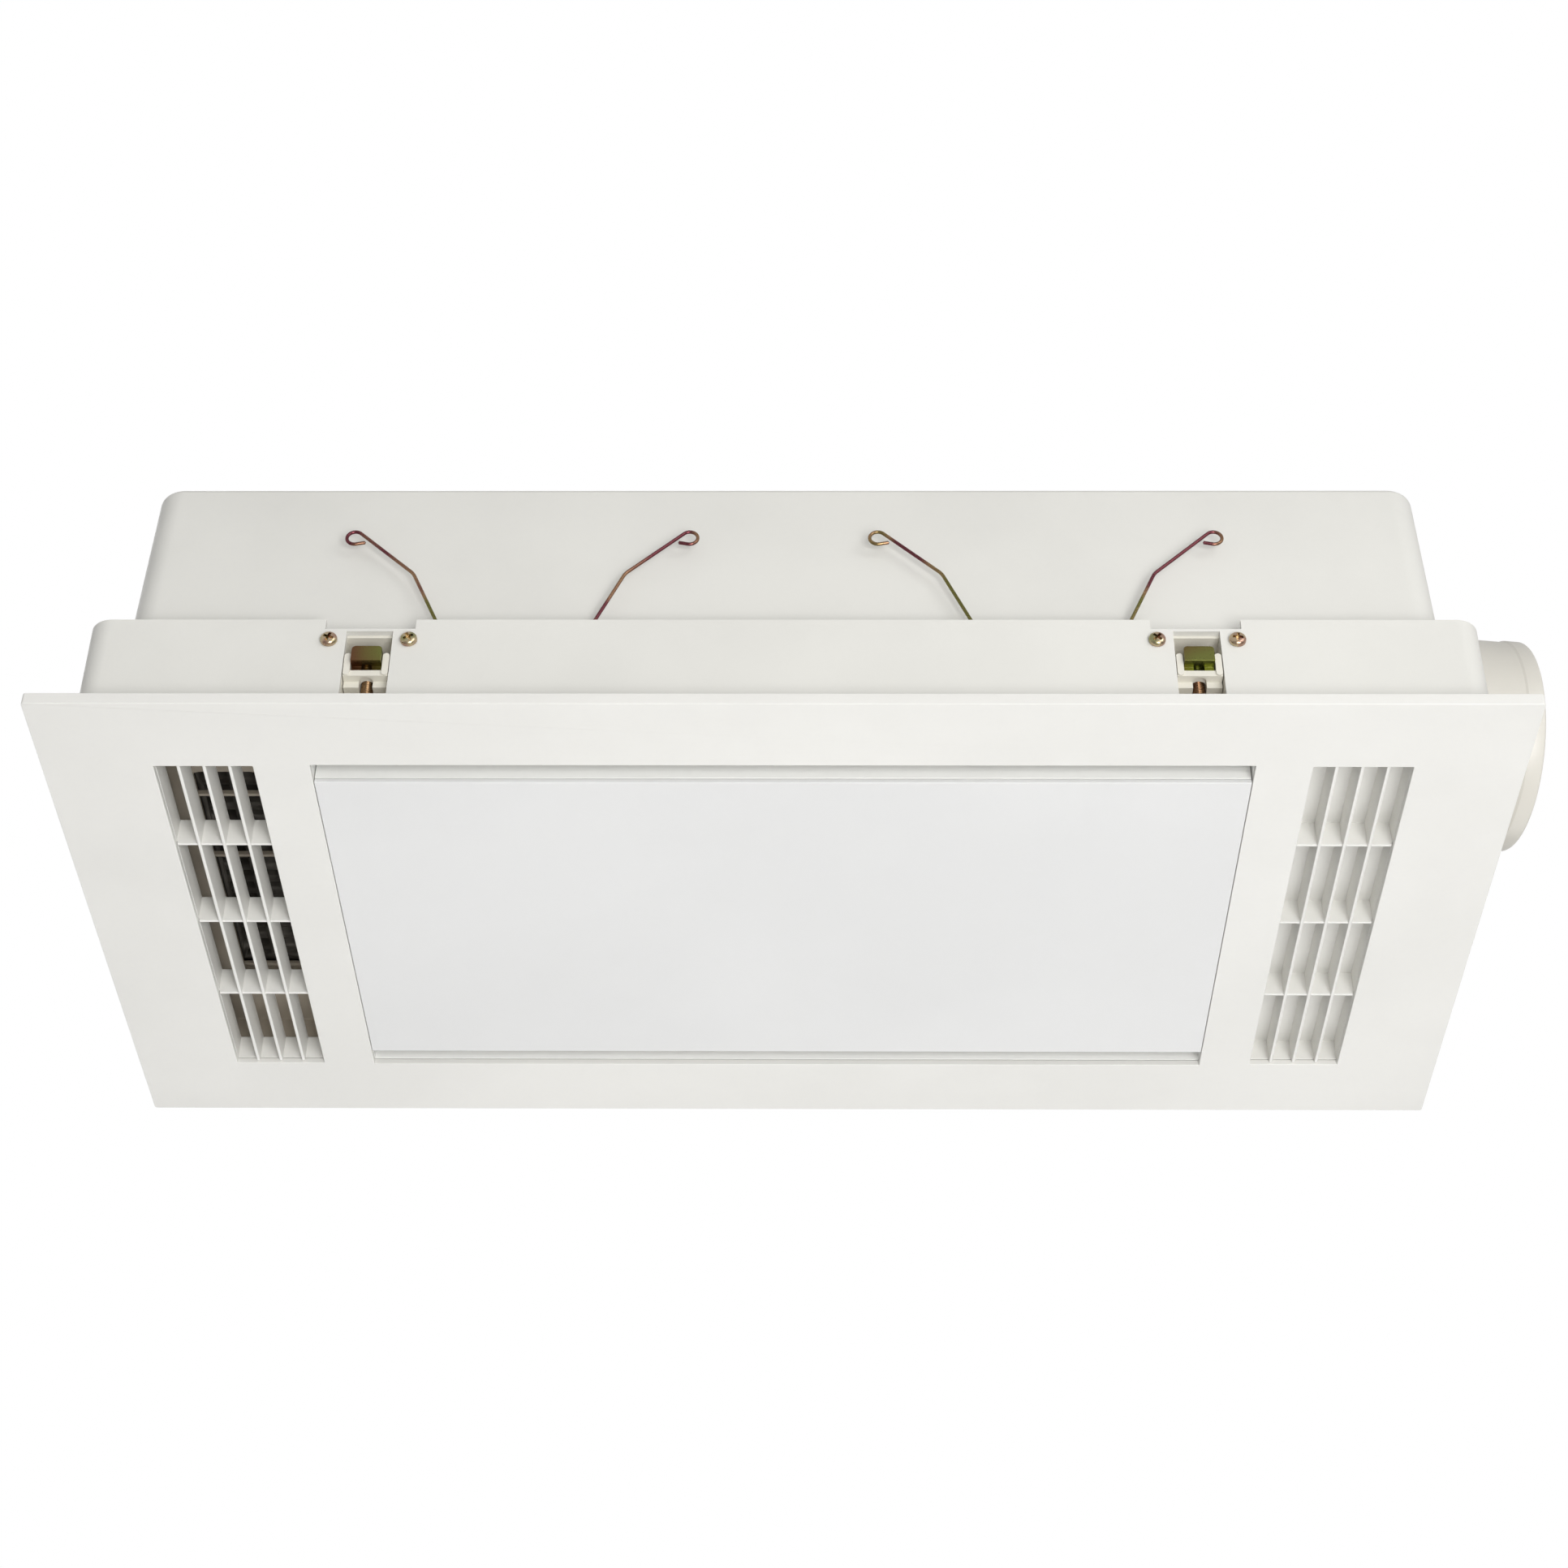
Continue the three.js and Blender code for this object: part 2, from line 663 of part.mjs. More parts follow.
function mountingFrame() {
  const wall = rectRing(frameLength, frameWidth, frameWall, frameCorner, [frameBottom, frameTop]);
  const shelfLength = frameLength - 2 * (frameWall - weld);
  const shelfWidth = frameWidth - 2 * (frameWall - weld);
  const shelf = rectRing(shelfLength, shelfWidth, shelfReach, frameCorner, [shelfBottom, shelfTop]);
  const cutters = [spigotRod(spigotLipRadius + 1.5 * spigotLipStep)];
  for (const side of sides) {
    const clampX = side.x * clampSpacing / 2;
    const wallSpan = across(2 * cutOverrun, side.y * frameWidth / 2);
    const windowHeights = [guideFootTop, clampWindowTop];
    cutters.push(block(across(clampWindowWidth, clampX), wallSpan, windowHeights));
    const notchHeights = [notchBottom, frameTop + cutOverrun];
    cutters.push(block(across(notchWidth, clampX), wallSpan, notchHeights));
    for (const end of [-1, 1]) {
      const hole = post(guideScrewRadius + fitGap, across(2 * cutOverrun));
      const x = clampX + end * guideScrewSpacing / 2;
      cutters.push(hole.rotate([90, 0, 0]).translate([x, side.y * frameWidth / 2, guideScrewHeight]));
    }
    const screwY = side.y * (clampWallY - clampScrewDepth);
    const shelfSpan = [shelfBottom - cutOverrun, shelfTop + cutOverrun];
    cutters.push(post(clampScrewRadius + fitGap, shelfSpan, clampX, screwY, roundFacets / 2));
    const springX = side.x * springSpacing / 2;
    const springY = side.y * springPlaneY;
    const slotDepth = across(springSlotWidth, springY);
    cutters.push(block(across(2 * springSlotHalf, springX), slotDepth, shelfSpan));
  }
  addPart('mounting_frame', cut(joined(wall, shelf), ...cutters), casingWhite());
}

// A round bar on the spigot's axis, from inside the housing to past the spigot's end
function spigotRod(radius) {
  const run = spigotEndX - spigotInnerX + 2 * cutOverrun;
  const bar = new THREE.CylinderGeometry(radius, radius, run, spigotFacets);
  bar.rotateZ(Math.PI / 2);
  bar.translate(-run / 2 + cutOverrun, 0, 0);
  bar.rotateZ(spigotYaw);
  bar.translate(spigotEndX, spigotEndY, spigotAxisZ);
  return solidOf(bar);
}

function upperHousing() {
  const outside = draftedBox(0, [housingBottom, housingTop]);
  const insideBottom = housingBottom - cutOverrun;
  const inside = draftedBox(housingWall, [insideBottom, housingTop - housingWall]);
  const pocketWidth = 2 * (clampWindowWidth / 2 + guideRailWall + 2 * fitGap);
  const pocketFloor = housingHalf(housingWidth, guideBottom) - clampPocketDepth;
  const linings = [];
  const pockets = [];
  for (const side of sides) {
    const x = side.x * clampSpacing / 2;
    const edge = (depth) => side.y * depth;
    const reach = [edge(pocketFloor - clampPocketWall), edge(pocketFloor + clampPocketDepth - weld)];
    const lining = block(
      across(pocketWidth + 2 * clampPocketWall, x),
      reach.sort((a, b) => a - b),
      [housingBottom, clampPocketTop + clampPocketWall],
    );
    linings.push(lining.intersect(outside));
    const room = [edge(pocketFloor), edge(pocketFloor + clampPocketDepth + cutOverrun)];
    pockets.push(block(
      across(pocketWidth, x),
      room.sort((a, b) => a - b),
      [insideBottom, clampPocketTop],
    ));
  }
  const glandHole = post(glandRadius + fitGap, across(2 * cutOverrun), 0, 0, roundFacets / 2)
    .rotate([90, 0, 0])
    .translate([controlBoxX, housingHalf(housingWidth, glandHeight()), glandHeight()]);
  const shell = joined(cut(outside, inside), ...linings);
  const solid = cut(shell, ...pockets, spigotRod(spigotBarrelRadius + fitGap), glandHole);
  addPart('upper_housing', solid, casingWhite());
}

// The gland sits level with the middle of the control box
const glandHeight = () => housingTop - housingWall - controlBoxHeight / 2;

// One clamp, drawn as the front left one: x along the wall, y inwards from the frame's inner face
function clampSet(side) {
  const group = new THREE.Group();
  group.position.set(side.x * clampSpacing / 2, side.y * clampWallY, 0);
  group.rotation.z = side.y > 0 ? Math.PI : 0;
  unit.add(group);
  addPart('clamp_guide_' + side.name, clampGuide(), clampWhite(), group);
  addPart('claw_carrier_' + side.name, clawCarrier(), clampWhite(), group);
  addPart('clamp_claw_' + side.name, clampClaw(), yellowZinc(), group);
  addPart('clamp_screw_' + side.name, clampScrew(), yellowZinc(), group);
  for (const [end, x] of [['a', -guideScrewSpacing / 2], ['b', guideScrewSpacing / 2]]) {
    const screwGroup = new THREE.Group();
    screwGroup.position.set(x, -frameWall - fitGap, guideScrewHeight);
    group.add(screwGroup);
    addPart('guide_screw_' + side.name + '_' + end, panScrew(), yellowZinc(), screwGroup);
  }
}

function clampGuide() {
  const inner = clampWindowWidth / 2;
  const outer = inner + guideRailWall;
  const depths = [fitGap, guideDepth];
  const backDepths = [guideDepth - guideBackWall, guideDepth];
  const back = block([-outer, outer], backDepths, [guideBottom, clampWindowTop]);
  const rails = [-1, 1].map((end) => {
    const reach = [end * inner, end * outer].sort((a, b) => a - b);
    return block(reach, depths, [guideBottom, clampWindowTop]);
  });
  const foot = block([-outer, outer], depths, [guideBottom, guideFootTop]);
  const bridgeHeights = [clampWindowTop - guideBridgeThickness, clampWindowTop];
  const bridge = block([-outer, outer], depths, bridgeHeights);
  const earTop = clampWindowTop;
  const ears = block(
    across(2 * (outer + guideEarLength)),
    [fitGap, fitGap + guideEarThickness],
    [earTop - guideEarHeight, earTop],
  );
  const earGap = block(
    across(2 * inner),
    [-cutOverrun, guideDepth - guideBackWall],
    [guideFootTop, earTop + cutOverrun],
  );
  const holes = [-1, 1].map((end) =>
    post(guideScrewRadius + fitGap, across(2 * cutOverrun))
      .rotate([90, 0, 0])
      .translate([end * guideScrewSpacing / 2, fitGap, guideScrewHeight]));
  const screwHole = post(clampScrewRadius + fitGap, across(2 * cutOverrun), 0, 0, roundFacets / 2)
    .translate([0, clampScrewDepth, guideBottom]);
  const channel = cut(joined(back, ...rails, foot, ears), earGap, screwHole, ...holes);
  return joined(channel, bridge);
}

// Plastic slider with two arms that hold the claw's sides
function clawCarrier() {
  const outer = clampWindowWidth / 2 - carrierSideGap;
  const inner = clawWidth / 2 + fitGap;
  const front = fitGap - frameWall;
  const backY = guideDepth - guideBackWall - fitGap;
  const armHeights = [carrierSkirtTop, carrierArmTop];
  const arms = [-1, 1].map((end) => {
    const reach = [end * inner, end * outer].sort((a, b) => a - b);
    return block(reach, [front, backY], armHeights);
  });
  const bar = block([-outer, outer], [front, backY], [carrierSkirtTop, carrierBarTop]);
  const skirt = block(
    [-outer, outer],
    [front + carrierSkirtSetBack, backY],
    [carrierFootTop, carrierSkirtTop + weld],
  );
  const foot = block(
    [-outer, outer],
    [front + carrierFootSetBack, backY],
    [carrierBottom, carrierFootTop + weld],
  );
  const screwRoom = post(
    clampScrewRadius + fitGap,
    [carrierBottom - cutOverrun, carrierArmTop + cutOverrun],
    0,
    clampScrewDepth,
    roundFacets / 2,
  );
  const slotRadius = clampScrewRadius + fitGap;
  const slotEnd = front + carrierSlotSetBack + slotRadius;
  const slotHeights = [carrierBottom - cutOverrun, carrierSlotTop];
  const slot = joined(
    block(across(2 * slotRadius), [slotEnd, clampScrewDepth], slotHeights),
    post(slotRadius, slotHeights, 0, slotEnd, roundFacets / 2),
  );
  return cut(joined(bar, ...arms, skirt, foot), screwRoom, slot);
}

// Zinc claw: the upper block hooks over the ceiling's runner, the lower part is threaded
function clampClaw() {
  const front = -frameWall - clawProud;
  const seat = carrierBarTop + fitGap;
  const outline = roundedRect(clawWidth, 2 * (clawTop - clawUnderside), clawCorner);
  const upperSlab = prism(outline, [0, clawDepth])
    .rotate([90, 0, 0])
    .translate([0, front + clawDepth, clawUnderside]);
  const upper = upperSlab.intersect(block(
    across(clawWidth),
    [front, front + clawDepth],
    [clawUnderside, clawTop],
  ));
  const lower = block(
    across(clawWidth),
    [front + clawOverhang, front + clawDepth],
    [seat, clawUnderside + weld],
  );
  const thread = post(
    clampScrewRadius + fitGap,
    [seat - cutOverrun, clawTop + cutOverrun],
    0,
    clampScrewDepth,
    roundFacets / 2,
  );
  return cut(joined(upper, lower), thread);
}

// Upright clamp screw with its pan head under the shelf
function clampScrew() {
  const headTop = shelfBottom - fitGap;
  const headBottom = headTop - clampHeadHeight;
  const tip = clampScrewTip - clampScrewRadius / 2;
  const body = solidOf(turned([
    [0, headBottom],
    [clampHeadRadius - clampHeadHeight / 2, headBottom],
    [clampHeadRadius, headBottom + clampHeadHeight / 2],
    [clampHeadRadius, headTop],
    [clampScrewRadius, headTop],
    [clampScrewRadius, tip],
    [clampScrewRadius / 2, clampScrewTip],
    [0, clampScrewTip],
  ], roundFacets / 2));
  return cut(body, crossRecess(headBottom)).translate([0, clampScrewDepth, 0]);
}

// Two crossed bars that cut a cross recess into a head whose face is at a height
function crossRecess(height) {
  const depths = [height - cutOverrun, height + crossRecessDepth];
  return joined(
    block(across(crossRecessLength), across(crossRecessWidth), depths),
    block(across(crossRecessWidth), across(crossRecessLength), depths),
  );
}

// Pan-head screw lying along +Y, with the underside of its head at the group's origin
function panScrew() {
  const body = solidOf(turned([
    [0, -panHeadHeight],
    [panHeadRadius / 2, -panHeadHeight],
    [0.85 * panHeadRadius, -panHeadHeight / 2],
    [panHeadRadius, 0],
    [guideScrewRadius, 0],
    [guideScrewRadius, guideScrewLength - guideScrewRadius],
    [0, guideScrewLength],
  ], smallFacets));
  return cut(body, crossRecess(-panHeadHeight)).rotate([-90, 0, 0]);
}

function ductSpigot() {
  const run = spigotEndX - spigotInnerX + 2 * cutOverrun;
  const lipStart = -spigotLipLength;
  const stopRadius = spigotBoreRadius - flapStop;
  const stopEnd = (flapPivotX - spigotEndX) / Math.cos(spigotYaw) - flapThickness / 2 - fitGap;
  const barrel = turned([
    [spigotBoreRadius, -run],
    [spigotBarrelRadius, -run],
    [spigotBarrelRadius, lipStart - spigotLipStep],
    [spigotLipRadius, lipStart],
    [spigotLipRadius, -spigotLipRound],
    [spigotLipRadius - spigotLipRound, 0],
    [spigotBoreRadius, 0],
    [spigotBoreRadius, stopEnd],
    [stopRadius, stopEnd],
    [stopRadius, stopEnd - flapStop],
    [spigotBoreRadius, stopEnd - flapStop],
    [spigotBoreRadius, -run],
  ], spigotFacets);
  barrel.rotateY(Math.PI / 2);
  barrel.rotateZ(spigotYaw);
  barrel.translate(spigotEndX, spigotEndY, spigotAxisZ);
  const wallX = housingHalf(housingLength, spigotAxisZ);
  const centreY = spigotAxisY(wallX);
  const plateHalf = spigotBarrelRadius + spigotFlange;
  const plate = block(
    [wallX - cutOverrun, wallX + fitGap + spigotFlangeThickness],
    across(2 * plateHalf, centreY),
    across(2 * plateHalf, spigotAxisZ),
  );
  const clearOfHousing = draftedBox(-fitGap, [housingBottom, housingTop]);
  const flange = cut(plate, clearOfHousing, spigotRod(spigotBoreRadius + weld));
  const innerEnd = block(
    [spigotInnerX - spigotLipRadius, spigotInnerX],
    across(3 * spigotLipRadius, centreY),
    across(3 * spigotLipRadius, spigotAxisZ),
  );
  const pinHole = post(
    flapPinRadius + fitGap,
    across(3 * spigotLipRadius, spigotAxisZ),
    flapPivotX,
    flapPivotY,
  );
  const solid = cut(joined(solidOf(barrel), flange), innerEnd, pinHole);
  addPart('duct_spigot', solid, spigotCream());
}

// Two half discs that swing out from one upright pin; the rear half is the front one turned over
function backdraftFlap() {
  const group = new THREE.Group();
  group.position.set(flapPivotX, flapPivotY, spigotAxisZ);
  group.rotation.z = spigotYaw;
  unit.add(group);
  const discRadius = spigotBoreRadius - flapRimGap;
  const disc = post(discRadius, across(flapThickness), 0, 0, roundFacets).rotate([0, 90, 0]);
  const plateEdge = flapKnuckleRadius + fitGap;
  const half = block(
    across(4 * flapThickness),
    [-discRadius - cutOverrun, -plateEdge],
    across(3 * discRadius),
  );
  const knuckles = flapKnuckleShares.flatMap((share) => {
    const heights = across(flapKnuckleLength, share * flapKnucklePitch);
    const web = block(across(flapThickness), [-plateEdge - weld, 0], heights);
    return [post(flapKnuckleRadius, heights), web];
  });
  const bore = post(flapPinRadius + fitGap, across(3 * discRadius));
  for (const [end, turn] of [['front', 0], ['rear', Math.PI]]) {
    const halfGroup = new THREE.Group();
    halfGroup.rotation.x = turn;
    group.add(halfGroup);
    const flap = cut(joined(disc.intersect(half), ...knuckles), bore);
    addPart('backdraft_flap_' + end, flap, spigotCream(), halfGroup);
  }
  const pinHalf = spigotBarrelRadius - spigotWall / 2;
  addPart('flap_pin', post(flapPinRadius, across(2 * pinHalf)), galvanised(), group);
}

// Spiral outline of a blower's casing, drawn in by an inset, with its mouth at +x
function scrollOutline(inset, exitX) {
  const shape = new THREE.Shape();
  const steps = 26;
  for (let i = 0; i <= steps; i += 1) {
    const share = i / steps;
    const angle = scrollStart + share * (scrollEnd - scrollStart);
    const radius = scrollStartRadius + share * (scrollEndRadius - scrollStartRadius) - inset;
    const x = radius * Math.cos(angle);
    const y = radius * Math.sin(angle);
    if (i === 0) shape.moveTo(x, y);
    else shape.lineTo(x, y);
  }
  shape.lineTo(exitX, -(scrollEndRadius - inset));
  shape.lineTo(exitX, -(scrollEndRadius - inset) + scrollExitWidth - 2 * inset);
  shape.closePath();
  return shape;
}

function blower(name, x, y, turn, exitX) {
  const group = new THREE.Group();
  group.position.set(x, y, 0);
  group.rotation.z = turn;
  unit.add(group);
  const roof = scrollTop - scrollWall;
  const outside = prism(scrollOutline(0, exitX), [scrollBottom, scrollTop]);
  const inside = prism(scrollOutline(scrollWall, exitX + cutOverrun), [scrollBottom - cutOverrun, roof]);
  const shaftHole = post(hubRadius, [roof - cutOverrun, scrollTop + cutOverrun], 0, 0, roundFacets / 2);
  const posts = [];
  for (let i = 0; i < scrollPostCount; i += 1) {
    const angle = scrollStart + (i + 1) * (scrollEnd - scrollStart) / (scrollPostCount + 1);
    const reach = motorFlangeRadius + 3 * scrollPostRadius;
    const heights = [scrollTop - weld, scrollTop + scrollRoofGap];
    posts.push(post(scrollPostRadius, heights, reach * Math.cos(angle), reach * Math.sin(angle)));
  }
  addPart(name + '_scroll', joined(cut(outside, inside, shaftHole), ...posts), galvanised(), group);

  const coverTop = scrollBottom - fitGap;
  const coverHeights = [coverTop - scrollCoverThickness, coverTop];
  const plate = prism(scrollOutline(-scrollCoverMargin, exitX), coverHeights);
  const inlet = post(
    scrollInletRadius,
    [coverHeights[0] - 2 * cutOverrun, coverTop + 2 * cutOverrun],
    0,
    0,
    roundFacets,
  );
  const lip = post(
    scrollInletRadius + scrollCoverThickness,
    [coverHeights[0], coverTop + scrollInletLip],
    0,
    0,
    roundFacets,
  );
  addPart(name + '_cover', cut(joined(plate, lip), inlet), casingWhite(), group);
  addPart(name + '_wheel', blowerWheel(), fanGrey(), group);
  addPart(name + '_motor', blowerMotor(), motorSteel(), group);
}

// Squirrel-cage wheel, open below, on a hub and shaft that reach up into the motor
function blowerWheel() {
  const top = scrollTop - scrollWall - wheelClearance;
  const bottom = scrollBottom + scrollInletLip + wheelClearance;
  const disc = post(wheelRadius, [top - wheelDisc, top], 0, 0, roundFacets);
  const ringHeights = [bottom, bottom + wheelDisc];
  const ring = cut(
    post(wheelRadius, ringHeights, 0, 0, roundFacets),
    post(wheelRadius - wheelRing, [bottom - cutOverrun, bottom + cutOverrun], 0, 0, roundFacets),
  );
  const hub = post(hubRadius, [top - hubLength, top], 0, 0, roundFacets / 2);
  const shaftTop = scrollTop + fitGap + motorShaftDepth - 2 * fitGap;
  const shaft = post(shaftRadius, [top - weld, shaftTop]);
  const blades = [];
  for (let i = 0; i < bladeCount; i += 1) {
    const blade = block(across(bladeLength), across(bladeThickness), [bottom + weld, top - weld]);
    const turnDegrees = THREE.MathUtils.radToDeg(2 * Math.PI * i / bladeCount);
    blades.push(blade
      .rotate([0, 0, THREE.MathUtils.radToDeg(bladeLean)])
      .translate([wheelRadius - bladeLength / 2 - weld, 0, 0])
      .rotate([0, 0, turnDegrees]));
  }
  return joined(disc, ring, hub, shaft, ...blades);
}

function blowerMotor() {
  const base = scrollTop + fitGap;
  const can = post(motorRadius, [base, base + motorHeight], 0, 0, roundFacets);
  const flange = post(motorFlangeRadius, [base, base + motorFlangeThickness], 0, 0, roundFacets);
  const bearing = post(hubRadius, [base, base + motorHeight + motorFlangeThickness], 0, 0, roundFacets / 2);
  const bore = post(shaftRadius + fitGap, [base - cutOverrun, base + motorShaftDepth]);
  return cut(joined(can, flange, bearing), bore);
}

function heater() {
  const group = new THREE.Group();
  group.position.x = -grilleCentreX;
  unit.add(group);
  const plateLength = nozzleOpeningWidth + 2 * nozzleMargin;
  const plateWidth = nozzleOpeningLength + 2 * nozzleMargin;
  const plateTop = nozzleBottom + nozzleThickness;
  const plate = block(across(plateLength), across(plateWidth), [nozzleBottom, plateTop]);
  const mouth = prism(
    roundedRect(nozzleOpeningWidth, nozzleOpeningLength, nozzleOpeningCorner),
    [nozzleBottom - cutOverrun, plateTop + cutOverrun],
  );
  const ribs = [];
  for (let i = 0; i < nozzleRibCount; i += 1) {
    const at = (i * nozzleRibPitchShare - nozzleRibFirstShare) * nozzleOpeningLength;
    const thick = across(nozzleRibThickness, at);
    const heights = [plateTop - nozzleRibHeight, plateTop];
    ribs.push(block(across(nozzleOpeningWidth + nozzleMargin), thick, heights));
  }
  addPart('outlet_nozzle', joined(cut(plate, mouth), ...ribs), nozzleGrey(), group);

  const frameBase = plateTop + fitGap;
  const frameHeights = [frameBase, frameBase + heaterHeight + heaterFrameLip + fitGap];
  const frameLengthX = nozzleOpeningWidth + 2 * heaterFrameWall;
  const frameWidthY = nozzleOpeningLength + 2 * heaterFrameWall;
  const box = block(across(frameLengthX), across(frameWidthY), frameHeights);
  const lipHole = block(
    across(nozzleOpeningWidth - 2 * heaterFrameLip),
    across(nozzleOpeningLength - 2 * heaterFrameLip),
    [frameBase - cutOverrun, frameHeights[1] + cutOverrun],
  );
  const coreRoom = block(
    across(nozzleOpeningWidth),
    across(nozzleOpeningLength),
    [frameBase + heaterFrameLip, frameHeights[1] + cutOverrun],
  );
  addPart('heater_frame', cut(box, lipHole, coreRoom), nozzleGrey(), group);

  const coreHeights = [frameBase + heaterFrameLip + fitGap, frameHeights[1]];
  const core = block(
    across(nozzleOpeningWidth - 2 * fitGap),
    across(nozzleOpeningLength - 2 * fitGap),
    coreHeights,
  );
  const finPitch = nozzleOpeningLength / (finCount + 1);
  const grooves = [];
  for (let i = 1; i <= finCount; i += 1) {
    const thick = across(finGroove, i * finPitch - nozzleOpeningLength / 2);
    const rowLength = (nozzleOpeningWidth - 3 * heaterFrameWall) / 2;
    for (const row of [-1, 1]) {
      const reach = across(rowLength - finWeb, row * (rowLength + finWeb) / 2);
      grooves.push(block(reach, thick, [coreHeights[0] - cutOverrun, coreHeights[1] + cutOverrun]));
    }
  }
  addPart('heater_core', cut(core, ...grooves), heaterDark(), group);

  const ductBase = frameHeights[1] + fitGap;
  const duct = block(across(frameLengthX), across(frameWidthY), [ductBase, ductTop]);
  const ductRoom = block(
    across(frameLengthX - 2 * ductWall),
    across(frameWidthY - 2 * ductWall),
    [ductBase - cutOverrun, ductTop - ductWall],
  );
  const mouthY = warmBlowerY + scrollEndRadius - scrollExitWidth / 2;
  const inlet = block(
    [0, frameLengthX],
    across(scrollExitWidth - 2 * scrollWall, mouthY),
    [Math.max(scrollBottom, ductBase + ductWall), scrollTop - scrollWall],
  );
  const roofUnderside = housingTop - housingWall;
  const posts = [-1, 1].map((end) =>
    post(ductPostRadius, [ductTop - weld, roofUnderside - fitGap], 0, end * frameWidthY / 3));
  addPart('air_duct', joined(cut(duct, ductRoom, inlet), ...posts), galvanised(), group);

  const cutoutBase = ductTop + fitGap;
  const cutout = joined(
    post(cutoutRadius, [cutoutBase, cutoutBase + cutoutHeight], 0, 0, roundFacets / 2),
    block(across(2 * cutoutRadius), across(3 * cutoutRadius), [cutoutBase, cutoutBase + cutoutFlange]),
  );
  addPart('thermal_cutout', cutout, heaterDark(), group);
}

function controls() {
  const group = new THREE.Group();
  group.position.x = controlBoxX;
  unit.add(group);
  const roof = housingTop - housingWall - fitGap;
  const base = roof - controlBoxHeight;
  const box = block(across(controlBoxLength), across(controlBoxWidth), [base, roof]);
  const room = block(
    across(controlBoxLength - 2 * controlBoxWall),
    across(controlBoxWidth - 2 * controlBoxWall),
    [base - cutOverrun, roof - controlBoxWall],
  );
  const boardTop = roof - controlBoxWall - boardPostHeight;
  const boardX = controlBoxLength - 4 * controlBoxWall;
  const boardY = controlBoxWidth - 4 * controlBoxWall;
  const posts = [-1, 1].flatMap((ex) => [-1, 1].map((ey) => post(
    boardPostRadius,
    [boardTop + fitGap, roof - controlBoxWall / 2],
    ex * boardX / 3,
    ey * boardY / 3,
  )));
  addPart('control_box', joined(cut(box, room), ...posts), boardWhite(), group);

  const lidHeights = [base - fitGap - controlLidThickness, base - fitGap];
  const lid = block(across(controlBoxLength), across(controlBoxWidth), lidHeights);
  addPart('control_box_lid', lid, boardWhite(), group);

  const board = block(across(boardX), across(boardY), [boardTop - boardThickness, boardTop]);
  addPart('control_board', board, boardGreen(), group);

  const terminalY = controlBoxWidth / 2 + fitGap;
  const terminalHeights = [base, base + terminalHeight];
  const terminal = block(across(terminalLength), [terminalY, terminalY + terminalDepth], terminalHeights);
  const wayPitch = terminalLength / terminalWays;
  const ways = [];
  for (let i = 0; i < terminalWays; i += 1) {
    const at = (i + 1 / 2) * wayPitch - terminalLength / 2;
    const reach = [terminalY + terminalDepth / 2, terminalY + terminalDepth + cutOverrun];
    const heights = across(terminalHeight / 2, base + terminalHeight / 2);
    ways.push(block(across(wayPitch / 2, at), reach, heights));
  }
  addPart('terminal_block', cut(terminal, ...ways), terminalGrey(), group);
}

// Cable gland through the rear wall: a screwed body, a nut-shaped head outside and a clear bore
function cableGland() {
  const height = glandHeight();
  const group = new THREE.Group();
  const wallY = housingHalf(housingWidth, height);
  group.position.set(controlBoxX, wallY, height);
  unit.add(group);
  const lean = housingDraft * glandNutRadius;
  const headStart = fitGap + lean;
  const head = post(glandNutRadius, [headStart, headStart + glandNutThickness], 0, 0, smallFacets / 2);
  const barrel = post(
    glandRadius,
    [-housingWall - glandReach, headStart + glandNutThickness + glandReach / 2],
    0,
    0,
    roundFacets / 2,
  );
  const bore = post(glandBore, across(4 * glandReach), 0, 0, smallFacets);
  addPart('cable_gland', cut(joined(head, barrel), bore).rotate([-90, 0, 0]), glandBlack(), group);
}

facePanel();
airGrille('outlet_grille', -grilleCentreX, false);
airGrille('intake_grille', grilleCentreX, true);
lightCollar();
lightUnit();
panelSprings();
mountingFrame();
upperHousing();
sides.forEach(clampSet);
ductSpigot();
backdraftFlap();
const exhaustMouth = spigotInnerX - fitGap - exhaustBlowerX;
blower('exhaust_blower', exhaustBlowerX, exhaustBlowerY, 0, exhaustMouth);
const heaterSide = -grilleCentreX + nozzleOpeningWidth / 2 + heaterFrameWall;
const warmMouth = warmBlowerX - heaterSide - fitGap;
blower('warm_blower', warmBlowerX, warmBlowerY, Math.PI, warmMouth);
heater();
controls();
cableGland();

export default unit;
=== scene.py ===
"""Ceiling bathroom heater with exhaust fan and light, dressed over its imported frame."""

import math

import bmesh
import bpy
from bpy.props import FloatProperty, FloatVectorProperty, PointerProperty
from mathutils import Matrix, Vector


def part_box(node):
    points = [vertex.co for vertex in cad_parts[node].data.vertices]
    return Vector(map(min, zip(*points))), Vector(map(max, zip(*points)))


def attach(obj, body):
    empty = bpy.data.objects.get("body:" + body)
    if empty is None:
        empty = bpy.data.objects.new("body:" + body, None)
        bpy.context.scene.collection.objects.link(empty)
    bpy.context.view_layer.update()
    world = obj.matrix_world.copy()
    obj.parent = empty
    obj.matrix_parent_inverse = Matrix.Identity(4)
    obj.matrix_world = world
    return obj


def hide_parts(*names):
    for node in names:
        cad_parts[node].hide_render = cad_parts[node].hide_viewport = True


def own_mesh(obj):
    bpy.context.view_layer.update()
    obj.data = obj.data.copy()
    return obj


bl_info = {
    "name": "Ceiling Bathroom Heater",
    "version": (1, 0, 0),
    "blender": (4, 5, 0),
    "location": "View3D > Sidebar > Heater",
    "description": "Finished shells, clamps, springs and studio for the packed ceiling heater",
    "category": "Object",
}

